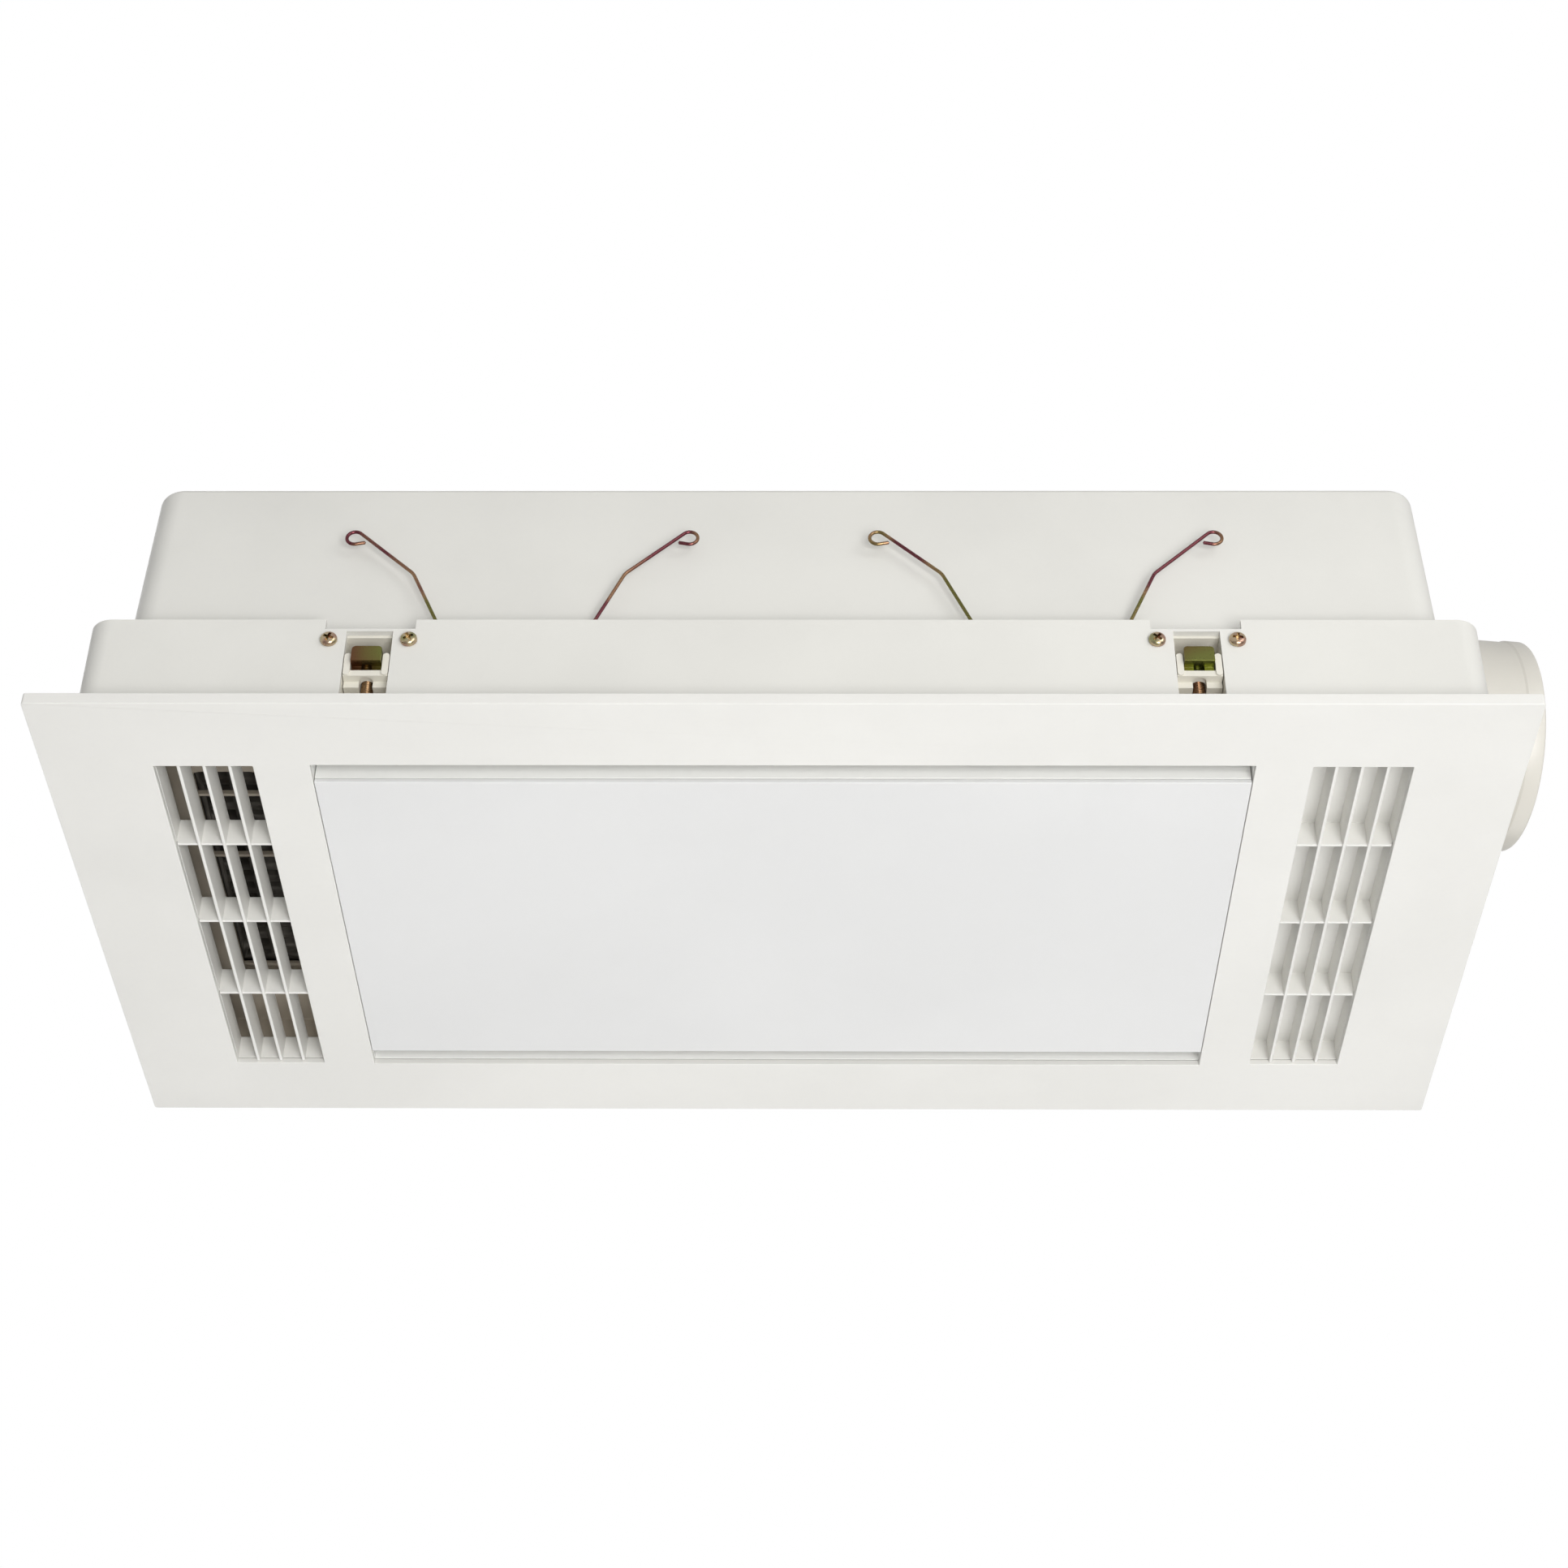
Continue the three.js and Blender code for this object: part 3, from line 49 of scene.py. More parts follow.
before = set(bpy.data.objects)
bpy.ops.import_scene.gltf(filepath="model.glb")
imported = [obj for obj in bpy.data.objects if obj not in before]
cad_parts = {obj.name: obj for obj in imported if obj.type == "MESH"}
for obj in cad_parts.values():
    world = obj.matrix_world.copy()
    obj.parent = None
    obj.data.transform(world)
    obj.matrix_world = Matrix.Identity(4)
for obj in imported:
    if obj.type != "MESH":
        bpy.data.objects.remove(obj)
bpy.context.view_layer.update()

MM = 0.001
PHOTO_PIXELS = 1932

# The four clamps and the four springs stand at these corners: name, x sign, y sign
CORNERS = (
    ("front_left", -1, -1),
    ("front_right", 1, -1),
    ("rear_left", -1, 1),
    ("rear_right", 1, 1),
)


# Sizes and colours that a user may change


def linear(code):
    """An sRGB hex colour as linear red, green, blue and alpha."""
    channels = [int(code[i : i + 2], 16) / 255 for i in (1, 3, 5)]
    straight = [c / 12.92 if c <= 0.04045 else ((c + 0.055) / 1.055) ** 2.4 for c in channels]
    return (*straight, 1.0)


def length(name, description, millimetres):
    """A length property, given in millimetres and kept in metres."""
    return FloatProperty(
        name=name,
        description=description,
        default=millimetres * MM,
        unit="LENGTH",
        precision=4,
    )


def colour(name, description, code):
    """A colour property from an sRGB hex value."""
    return FloatVectorProperty(
        name=name,
        description=description,
        subtype="COLOR",
        size=4,
        min=0.0,
        max=1.0,
        default=linear(code),
    )


class FacePanelSizes(bpy.types.PropertyGroup):
    """Sizes of the face panel, its grilles and its light."""

    skin: length("Skin", "Thickness of the visible plate", 2.8)
    rim_height: length("Rim height", "Height of the turned-up rim", 5.5)
    rim_wall: length("Rim wall", "Thickness of the turned-up rim", 2)
    corner: length("Corner", "Radius of the panel's upright corners", 1.2)
    edge: length("Edge", "Rounding of the panel's edges", 0.4)
    light_length: length("Light length", "Length of the light opening", 382)
    light_width: length("Light width", "Width of the light opening", 222)
    grille_length: length("Grille length", "Length of a grille opening", 220.6)
    grille_width: length("Grille width", "Width of a grille opening", 40.4)
    grille_centre: length("Grille centre", "Distance of a grille from the middle", 234.4)
    grille_wall: length("Grille wall", "Wall of a grille's frame above the panel", 2.4)
    slat: length("Slat", "Thickness of a grille slat", 1.4)
    slat_recess: length("Slat recess", "Depth of the slats behind the face", 1)
    bar: length("Cross bar", "Thickness of a grille cross bar", 1.3)
    bar_recess: length("Cross bar recess", "Depth of the cross bars behind the face", 1.7)
    baffle: length("Baffle", "Thickness of the plate behind the intake grille", 1.2)
    baffle_slot: length("Baffle slot", "Length of the baffle's air slot in each row", 13)
    gap: length("Gap", "Gap between pieces that seat on each other", 0.3)
    lug_length: length("Lug length", "Length of the lugs that hold the springs", 9)
    lug_wall: length("Lug wall", "Wall of the lugs that hold the springs", 1.3)
    lug_rise: length("Lug rise", "Height of the lugs above the spring wire", 0.9)
    tray_wall: length("Tray wall", "Wall of the light tray", 1.6)
    tray_tab_length: length("Tray tab length", "Length of the light tray's end tabs", 120)


class CasingSizes(bpy.types.PropertyGroup):
    """Sizes of the mounting frame and the upper housing."""

    frame_wall: length("Frame wall", "Wall of the mounting frame", 2.4)
    frame_corner: length("Frame corner", "Radius of the mounting frame's corners", 10)
    shelf_bottom: length("Shelf bottom", "Height of the shelf's underside", 11)
    shelf_top: length("Shelf top", "Height of the shelf's upper side", 13.5)
    shelf_reach: length("Shelf reach", "Inward reach of the shelf", 17)
    slot_half: length("Slot half", "Half length of a spring's slot in the shelf", 19)
    slot_width: length("Slot width", "Width of a spring's slot in the shelf", 4.4)
    notch_width: length("Notch width", "Width of the notches over the clamps", 37)
    notch_bottom: length("Notch bottom", "Height of the notches' lower edge", 52.3)
    notch_corner: length("Notch corner", "Corner radius of windows and notches", 0.8)
    housing_wall: length("Housing wall", "Wall of the upper housing", 2.2)
    housing_corner: length("Housing corner", "Radius of the upper housing's corners", 12)
    housing_edge: length("Housing edge", "Rounding between the housing's sides and roof", 3.2)
    housing_lean: length("Housing lean", "Inward lean of a housing side from bottom to top", 3)
    pocket_half: length("Pocket half", "Half width of the recess behind a clamp", 11.9)
    pocket_depth: length("Pocket depth", "Depth of the recess behind a clamp", 6)
    pocket_top: length("Pocket top", "Height of the recess behind a clamp", 55)
    nozzle_lip: length("Nozzle lip", "Thickness of the lip behind the outlet nozzle", 3)
    nozzle_lip_bottom: length("Nozzle lip bottom", "Height of that lip's lower edge", 14.8)


class ClampSizes(bpy.types.PropertyGroup):
    """Sizes of one screw clamp, seen from the wall's inner face."""

    window: length("Window", "Width of the clamp's window", 19)
    window_top: length("Window top", "Height of the window's upper edge", 51)
    rail: length("Rail", "Wall of the guide's side rails", 1.8)
    back: length("Back", "Wall of the guide's back", 1)
    foot: length("Foot", "Thickness of the guide's foot", 1.3)
    bridge: length("Bridge", "Thickness of the guide's top bridge", 1.4)
    ear_length: length("Ear length", "Length of the guide's ears", 10)
    ear_thickness: length("Ear thickness", "Thickness of the guide's ears", 2.5)
    ear_height: length("Ear height", "Height of the guide's ears", 10)
    depth: length("Depth", "Depth of the guide behind the wall", 13)
    screw_depth: length("Screw depth", "Depth of the clamp screw's axis behind the wall", 6.4)
    screw_radius: length("Screw radius", "Radius of the clamp screw", 2.5)
    thread_pitch: length("Thread pitch", "Pitch of the clamp screw's thread", 1)
    thread_depth: length("Thread depth", "Depth of the clamp screw's thread", 0.42)
    head_radius: length("Head radius", "Radius of the clamp screw's head", 4.6)
    head_height: length("Head height", "Height of the clamp screw's head", 3.2)
    claw_width: length("Claw width", "Width of the zinc claw", 12.3)
    claw_top: length("Claw top", "Height of the claw's upper face", 41.4)
    claw_under: length("Claw underside", "Height of the claw's gripping face", 33.8)
    claw_overhang: length("Claw overhang", "Depth of the claw's gripping face", 4.3)
    claw_depth: length("Claw depth", "Depth of the claw", 15)
    claw_proud: length("Claw proud", "Reach of the claw past the wall's outer face", 2)
    claw_corner: length("Claw corner", "Radius of the claw's upper corners", 1.6)
    claw_bite: length("Claw bite", "Radius of the half-round recess under the claw", 2.3)
    arm_top: length("Arm top", "Height of the carrier's arms", 39.5)
    bar_back: length("Bar set back", "Set-back of the cross bar between the arms", 0.8)
    bar_top: length("Bar top", "Height of the carrier's cross bar", 31)
    bar_bottom: length("Bar bottom", "Height of the cross bar's underside", 28.1)
    skirt_back: length("Skirt set back", "Set-back of the carrier's skirt", 4.7)
    slot_back: length("Slot set back", "Set-back of the screw's slot in the bar's underside", 1.8)
    slot_top: length("Slot top", "Height of the screw's slot in the bar's underside", 29.4)
    foot_back: length("Carrier foot set back", "Set-back of the carrier's foot", 10)
    foot_top: length("Carrier foot top", "Height of the carrier's foot", 25.1)
    pan_radius: length("Pan head radius", "Radius of the guide screws' heads", 3.5)
    pan_height: length("Pan head height", "Height of the guide screws' heads", 2.4)
    shank_radius: length("Shank radius", "Radius of the guide screws' shanks", 1.5)
    shank_length: length("Shank length", "Length of the guide screws' shanks", 7)
    screw_spacing: length("Screw spacing", "Distance between the two guide screws", 32.6)
    screw_height: length("Screw height", "Height of the guide screws", 46)
    cross_length: length("Cross length", "Length of a cross recess", 5)
    cross_width: length("Cross width", "Width of a cross recess", 1.4)
    cross_depth: length("Cross depth", "Depth of a cross recess", 2.1)


class SpringSizes(bpy.types.PropertyGroup):
    """Sizes of one panel spring, a bent wire with a loop at both ends."""

    wire: length("Wire", "Diameter of the wire", 1.5)
    base_height: length("Base height", "Height of the wire's base", 6.6)
    base_half: length("Base half", "Half length of the wire's base", 8.3)
    kink_half: length("Kink half", "Half distance between the two kinks", 44.3)
    kink_height: length("Kink height", "Height of the kinks", 88.6)
    loop_half: length("Loop half", "Half distance between the two loops", 70.7)
    loop_height: length("Loop height", "Height of the loops' centres", 108.8)
    loop_radius: length("Loop radius", "Radius of the wire's centre line in a loop", 3.45)
    bend: length("Bend", "Straight taken up by a bend on both sides of its corner", 1.8)
    loop_turn: FloatProperty(
        name="Loop turn",
        description="How far the wire runs round each loop",
        default=4.1,
        unit="ROTATION",
    )
    tail: length("Tail", "Straight wire after a loop, back towards the arm", 3.8)
    folded: FloatProperty(
        name="Folded",
        description="Width left to a spring when the panel hangs at its lowest",
        default=0.45,
        subtype="FACTOR",
    )
    spacing: length("Spacing", "Distance between two springs on one side", 220.8)
    plane: length("Plane", "Distance of the springs from the unit's middle", 128.6)


class SpigotSizes(bpy.types.PropertyGroup):
    """Sizes of the duct spigot."""

    yaw: FloatProperty(
        name="Yaw",
        description="Turn of the spigot to the rear",
        default=math.radians(7),
        unit="ROTATION",
    )
    end_x: length("End x", "Middle of the spigot's end, across", 318)
    end_y: length("End y", "Middle of the spigot's end, in depth", -33.49)
    end_z: length("End z", "Middle of the spigot's end, in height", 72.8)
    radius: length("Radius", "Outer radius of the lip", 46)
    lip: length("Lip", "Length of the lip", 7)
    step: length("Step", "Height of the lip over the barrel", 0.6)
    wall: length("Wall", "Wall of the barrel", 2.2)
    flange: length("Flange", "Reach of the flange round the barrel", 7)
    flange_thickness: length("Flange thickness", "Thickness of the flange", 3)
    barrel: length("Barrel", "Length of the barrel from its end", 55.5)
    lip_edge: length("Lip edge", "Rounding of the lip's outer edge", 1.2)
    flap: length("Flap", "Thickness of the flap", 1.4)
    flap_gap: length("Flap gap", "Gap round the flap in the bore", 1.5)
    stop_height: length("Stop height", "Height of the ring that stops the flap", 2.2)
    knuckle: length("Knuckle", "Radius of the flap's knuckles", 2.6)
    knuckle_length: length("Knuckle length", "Length of a knuckle", 16)
    knuckle_pitch: length("Knuckle pitch", "Distance between knuckles", 18)


class FinishColours(bpy.types.PropertyGroup):
    """Colours of the finishes."""

    panel: colour("Panel", "Face panel and grilles", "#EDECE8")
    # Whiter than the panel's moulding of the same white ABS, so that the shaded recess strips round the light read as
    # bright as the face: painted light.
    inner: colour("Inner", "Light collar and light tray", "#F7F7F4")
    casing: colour("Casing", "Mounting frame and upper housing", "#E8E7E2")
    clamp: colour("Clamp", "Clamp guides and carriers", "#E9E6DC")
    spigot: colour("Spigot", "Duct spigot and flaps", "#DAD7CF")
    diffuser: colour("Diffuser", "Light diffuser", "#E4E4E3")
    # The wire's film colours are darker than the screws' film of the same plating, to stand in for the dark
    # surroundings a round wire reflects: painted shade.
    shaded_wire_gold: colour("Wire gold", "The spring wire, its gold parts", "#96795A")
    shaded_wire_green: colour("Wire green", "The spring wire, its green parts", "#6F6B3C")
    shaded_wire_red: colour("Wire red", "The spring wire, its red parts", "#6C3C42")
    screw_gold: colour("Screw gold", "The guide screws, their gold parts", "#C0AF90")
    screw_green: colour("Screw green", "The guide screws, their green parts", "#94916A")
    screw_copper: colour("Screw copper", "The guide screws, their copper parts", "#A98A78")
    claw_green: colour("Claw green", "The claws, their green parts", "#777A42")
    claw_brown: colour("Claw brown", "The claws, their brown parts", "#6B4534")
    galvanised: colour("Galvanised", "Blower casings and air duct", "#A9ADB0")
    fan: colour("Fan", "Blower wheels", "#5A5F63")
    nozzle: colour("Nozzle", "Outlet nozzle and heater frame", "#B8AE9F")
    heater: colour("Heater", "Heater core", "#4A4640")
    steel: colour("Steel", "Motors", "#8B8F92")
    board_green: colour("Green board", "Control board", "#2F6B46")
    board_white: colour("White board", "Light board and control box", "#F2F2EE")
    terminal: colour("Terminal", "Terminal block", "#C9C9C4")
    gland: colour("Gland", "Cable gland", "#26282A")
    floor: colour("Floor", "Studio floor", "#F0F0F0")


class StudioSettings(bpy.types.PropertyGroup):
    """The camera fitted to the photograph, and the studio."""

    camera_x: length("Camera x", "Camera place, across", 13.85)
    camera_y: length("Camera y", "Camera place, in depth", -1030.46)
    camera_z: length("Camera z", "Camera place, in height", -733.21)
    heading: FloatProperty(
        name="Heading",
        description="Turn of the camera to the left",
        default=math.radians(0.8083),
        unit="ROTATION",
    )
    pitch: FloatProperty(
        name="Pitch",
        description="How far the camera looks up",
        default=math.radians(38.209),
        unit="ROTATION",
    )
    roll: FloatProperty(
        name="Roll",
        description="Turn of the camera about its view",
        default=math.radians(0.552),
        unit="ROTATION",
    )
    focal_pixels: FloatProperty(
        name="Focal length",
        description="Focal length in pixels of the photograph",
        default=3591.3,
    )
    floor_drop: length("Floor drop", "Depth of the floor under the unit", 1700)
    floor_glow: FloatProperty(
        name="Floor glow", description="How much paler the camera sees the floor", default=0.5
    )
    sky_level: FloatProperty(
        name="Sky level", description="Even light from all round", default=0.36
    )
    side_watts: FloatProperty(
        name="Side light", description="Power of the lamp at the right, in watts", default=11.0
    )
    front_watts: FloatProperty(
        name="Front light", description="Power of the lamp behind the camera, in watts", default=32.0
    )
    low_watts: FloatProperty(
        name="Low light", description="Power of the lamp below and behind, in watts", default=10.5
    )
    back_watts: FloatProperty(
        name="Back light", description="Power of the lamp above and behind, in watts", default=26.0
    )


# Mesh making


def add_boxes(bm, boxes, holes=()):
    """Adds the skin of boxes joined together, less the holes, all given as three spans."""
    cuts = [sorted({round(v, 7) for box in (*boxes, *holes) for v in box[axis]}) for axis in range(3)]

    def inside(point, box):
        return all(low < value < high for value, (low, high) in zip(point, box))

    filled = set()
    for i in range(len(cuts[0]) - 1):
        for j in range(len(cuts[1]) - 1):
            for k in range(len(cuts[2]) - 1):
                centre = [(c[n] + c[n + 1]) / 2 for c, n in zip(cuts, (i, j, k))]
                solid = any(inside(centre, box) for box in boxes)
                if solid and not any(inside(centre, hole) for hole in holes):
                    filled.add((i, j, k))
    corners = {}

    def corner(key):
        if key not in corners:
            corners[key] = bm.verts.new([c[n] for c, n in zip(cuts, key)])
        return corners[key]

    for cell in filled:
        for axis in range(3):
            for step in (0, 1):
                neighbour = list(cell)
                neighbour[axis] += 2 * step - 1
                if tuple(neighbour) in filled:
                    continue
                u, v = [a for a in range(3) if a != axis]
                ring = []
                for du, dv in ((0, 0), (1, 0), (1, 1), (0, 1)):
                    key = list(cell)
                    key[axis] += step
                    key[u] += du
                    key[v] += dv
                    ring.append(corner(tuple(key)))
                bm.faces.new(ring)


def add_prism(bm, outline, low, high):
    """Adds an upright solid with an outline of (x, y) points."""
    bottom = [bm.verts.new((x, y, low)) for x, y in outline]
    top = [bm.verts.new((x, y, high)) for x, y in outline]
    bm.faces.new(bottom[::-1])
    bm.faces.new(top)
    for i in range(len(outline)):
        j = (i + 1) % len(outline)
        bm.faces.new((bottom[i], bottom[j], top[j], top[i]))


def add_lathe(bm, profile, steps, place=Matrix.Identity(4), closed=False):
    """Adds a profile of (radius, height) points turned about Z; its ends lie on the axis unless closed."""
    rings = []
    for radius, height in profile:
        if radius < 1e-9:
            rings.append([bm.verts.new(place @ Vector((0, 0, height)))])
            continue
        angles = [2 * math.pi * i / steps for i in range(steps)]
        rings.append(
            [bm.verts.new(place @ Vector((radius * math.cos(a), radius * math.sin(a), height))) for a in angles]
        )
    pairs = list(zip(rings, rings[1:]))
    if closed:
        pairs.append((rings[-1], rings[0]))
    for low, high in pairs:
        for i in range(steps):
            j = (i + 1) % steps
            ring = [low[i % len(low)], low[j % len(low)], high[j % len(high)], high[i % len(high)]]
            unique = list(dict.fromkeys(ring))
            if len(unique) > 2:
                bm.faces.new(unique)


def add_tube(bm, points, radius, sides):
    """Adds a round wire along points, with rounded ends."""
    rings = []
    last = len(points) - 1
    side = None
    for i, point in enumerate(points):
        ahead = points[min(i + 1, last)] - point
        behind = point - points[max(i - 1, 0)]
        along = (ahead.normalized() + behind.normalized()).normalized()
        side = along.orthogonal() if side is None else side - along * side.dot(along)
        side.normalize()
        other = along.cross(side)
        angles = [2 * math.pi * k / sides for k in range(sides)]
        rings.append([bm.verts.new(point + radius * (side * math.cos(a) + other * math.sin(a))) for a in angles])
    for low, high in zip(rings, rings[1:]):
        for k in range(sides):
            n = (k + 1) % sides
            bm.faces.new((low[k], low[n], high[n], high[k]))
    for ring, inner, outer in ((rings[0], points[1], points[0]), (rings[-1], points[-2], points[-1])):
        tip = bm.verts.new(outer + (outer - inner).normalized() * radius * 0.6)
        for k in range(sides):
            bm.faces.new((ring[k], ring[(k + 1) % sides], tip))


def rounded_rectangle(half_x, half_y, radius, corner_steps, breaks_x=()):
    """(x, y) points round a rectangle, with extra points at the breaks on its two long sides."""
    points = []
    centres = (
        (half_x - radius, half_y - radius, 0),
        (radius - half_x, half_y - radius, 1),
        (radius - half_x, radius - half_y, 2),
        (half_x - radius, radius - half_y, 3),
    )
    for x, y, quarter in centres:
        for step in range(corner_steps + 1):
            angle = (quarter + step / corner_steps) * math.pi / 2
            points.append((x + radius * math.cos(angle), y + radius * math.sin(angle)))
        if quarter == 0:
            points.extend((x_break, half_y) for x_break in sorted(breaks_x, reverse=True))
        if quarter == 2:
            points.extend((x_break, -half_y) for x_break in sorted(breaks_x))
    return points


def add_walled_ring(bm, rings, is_open=None):
    """Adds a hollow wall from (height, outer points, inner points) levels, open where is_open says."""
    count = len(rings[0][1])
    heights = [height for height, _, _ in rings]
    skins = []
    for which in (1, 2):
        skins.append([[bm.verts.new((*point, ring[0])) for point in ring[which]] for ring in rings])
    outer, inner = skins

    def filled(level, i):
        if level < 0 or level >= len(rings) - 1:
            return False
        if is_open is None:
            return True
        a, b = rings[level][1][i % count], rings[level][1][(i + 1) % count]
        middle = Vector(((a[0] + b[0]) / 2, (a[1] + b[1]) / 2))
        return not is_open(middle, (heights[level] + heights[level + 1]) / 2)

    for level in range(len(rings) - 1):
        for i in range(count):
            if not filled(level, i):
                continue
            j = (i + 1) % count
            bm.faces.new((outer[level][i], outer[level][j], outer[level + 1][j], outer[level + 1][i]))
            bm.faces.new((inner[level][j], inner[level][i], inner[level + 1][i], inner[level + 1][j]))
            if not filled(level - 1, i):
                bm.faces.new((inner[level][i], inner[level][j], outer[level][j], outer[level][i]))
            if not filled(level + 1, i):
                bm.faces.new((outer[level + 1][i], outer[level + 1][j], inner[level + 1][j], inner[level + 1][i]))
            if not filled(level, i - 1):
                bm.faces.new((inner[level][i], outer[level][i], outer[level + 1][i], inner[level + 1][i]))
            if not filled(level, i + 1):
                bm.faces.new((outer[level][j], inner[level][j], inner[level + 1][j], outer[level + 1][j]))


def span(size, centre=0.0):
    """The two ends of a size about its centre."""
    return (centre - size / 2, centre + size / 2)


def ordered(a, b):
    """Two values as a span."""
    return (min(a, b), max(a, b))


def finish_mesh(name, bm, smooth_angle=32, merge_flat=True):
    """Turns a bmesh into a mesh with outward normals and sharp creases past an angle."""
    bmesh.ops.remove_doubles(bm, verts=bm.verts, dist=0.002 * MM)
    loose = [v for v in bm.verts if not v.link_faces]
    bmesh.ops.delete(bm, geom=loose, context="VERTS")
    if merge_flat:
        bmesh.ops.dissolve_limit(bm, angle_limit=math.radians(0.1), verts=bm.verts, edges=bm.edges)
    bmesh.ops.recalc_face_normals(bm, faces=bm.faces)
    limit = math.radians(smooth_angle)
    for face in bm.faces:
        face.smooth = True
    for edge in bm.edges:
        edge.smooth = edge.is_manifold and edge.calc_face_angle(0.0) < limit
    mesh = bpy.data.meshes.new(name)
    bm.to_mesh(mesh)
    bm.free()
    return mesh


def soften(obj, width, segments=3, angle=34):
    """Rounds an object's edges and evens its shading."""
    bevel = obj.modifiers.new("rounded edges", "BEVEL")
    bevel.width = width
    bevel.segments = segments
    bevel.limit_method = "ANGLE"
    bevel.angle_limit = math.radians(angle)
    bevel.miter_outer = "MITER_ARC"
    bevel.use_clamp_overlap = True
    bevel.harden_normals = False
    normals = obj.modifiers.new("even shading", "WEIGHTED_NORMAL")
    normals.keep_sharp = False
    normals.weight = 60


def cut_away(mesh, cutter_meshes):
    """A copy of a mesh with the cutters taken out of it."""
    base = bpy.data.objects.new("cutting_base", mesh)
    bpy.context.scene.collection.objects.link(base)
    cutters = []
    for cutter_mesh in cutter_meshes:
        cutter = bpy.data.objects.new("cutter", cutter_mesh)
        bpy.context.scene.collection.objects.link(cutter)
        cutters.append(cutter)
        step = base.modifiers.new("cut", "BOOLEAN")
        step.operation = "DIFFERENCE"
        step.solver = "EXACT"
        step.use_self = True
        step.object = cutter
    graph = bpy.context.evaluated_depsgraph_get()
    result = bpy.data.meshes.new_from_object(base.evaluated_get(graph))
    for obj in (base, *cutters):
        bpy.data.objects.remove(obj)
    bm = bmesh.new()
    bm.from_mesh(result)
    bpy.data.meshes.remove(result)
    return finish_mesh(mesh.name, bm)


def place_piece(
    name, mesh, material, body, nodes=(), round_width=0.0, place=Matrix.Identity(4)
):
    """Makes a piece from a mesh, gives it its finish and place and lets it ride on its body."""
    obj = bpy.data.objects.new(name, mesh)
    bpy.context.scene.collection.objects.link(obj)
    obj.matrix_world = place
    if not mesh.materials:
        mesh.materials.append(material)
    if round_width:
        soften(obj, round_width)
    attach(obj, body)
    if nodes:
        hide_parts(*nodes)
    return obj


def dress_node(name, material, round_width=0.0):
    """Gives a carried-over CAD node its finish and rounds its edges with modifiers."""
    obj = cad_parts[name]
    obj.data.materials.clear()
    obj.data.materials.append(material)
    weld = obj.modifiers.new("joined corners", "WELD")
    weld.merge_threshold = 0.002 * MM
    flat = obj.modifiers.new("whole faces", "DECIMATE")
    flat.decimate_type = "DISSOLVE"
    flat.angle_limit = math.radians(0.5)
    obj.data.polygons.foreach_set("use_smooth", [True] * len(obj.data.polygons))
    if round_width:
        soften(obj, round_width, 2)


# Finishes


def add_node(tree, kind, settings=None, inputs=None):
    """Adds a node with its settings, and sets or links its inputs."""
    node = tree.nodes.new(kind)
    for key, value in (settings or {}).items():
        setattr(node, key, value)
    for key, value in (inputs or {}).items():
        if isinstance(value, bpy.types.NodeSocket):
            tree.links.new(value, node.inputs[key])
        else:
            node.inputs[key].default_value = value
    return node


def new_finish(name):
    """A material with its tree, its shader and the place on the object as a coordinate."""
    material = bpy.data.materials.new(name)
    material.use_nodes = True
    tree = material.node_tree
    shader = tree.nodes["Principled BSDF"]
    own_place = add_node(tree, "ShaderNodeTexCoord").outputs["Object"]
    shift = add_node(tree, "ShaderNodeObjectInfo").outputs["Random"]
    place = add_node(tree, "ShaderNodeVectorMath", {"operation": "ADD"}, {0: own_place, 1: shift})
    return material, tree, shader, place.outputs["Vector"]


def darker(value, share):
    """A colour with its light cut to a share."""
    return (value[0] * share, value[1] * share, value[2] * share, 1.0)


def mottled(tree, place, size, first, second, low=0.35, high=0.65, detail=4.0):
    """Two colours in soft patches of a real size."""
    patches = add_node(
        tree, "ShaderNodeTexNoise", None, {"Vector": place, "Scale": 1 / size, "Detail": detail}
    )
    ramp = add_node(tree, "ShaderNodeValToRGB", None, {"Fac": patches.outputs["Fac"]})
    ramp.color_ramp.elements[0].position = low
    ramp.color_ramp.elements[0].color = first
    ramp.color_ramp.elements[1].position = high
    ramp.color_ramp.elements[1].color = second
    return ramp.outputs["Color"]


def spread(tree, value, low, high, bottom=0.3, top=0.7):
    """A pattern's value spread between two limits."""
    node = add_node(
        tree,
        "ShaderNodeMapRange",
        None,
        {"Value": value, "From Min": bottom, "From Max": top, "To Min": low, "To Max": high},
    )
    return node.outputs["Result"]


def noise_value(tree, place, size, detail=2.0):
    """Noise with grains of a real size."""
    node = add_node(
        tree, "ShaderNodeTexNoise", None, {"Vector": place, "Scale": 1 / size, "Detail": detail}
    )
    return node.outputs["Fac"]


def bumps(tree, height, distance, strength=1.0, normal=None):
    """A bump of a real depth."""
    inputs = {"Height": height, "Distance": distance, "Strength": strength}
    if normal is not None:
        inputs["Normal"] = normal
    return add_node(tree, "ShaderNodeBump", None, inputs).outputs["Normal"]


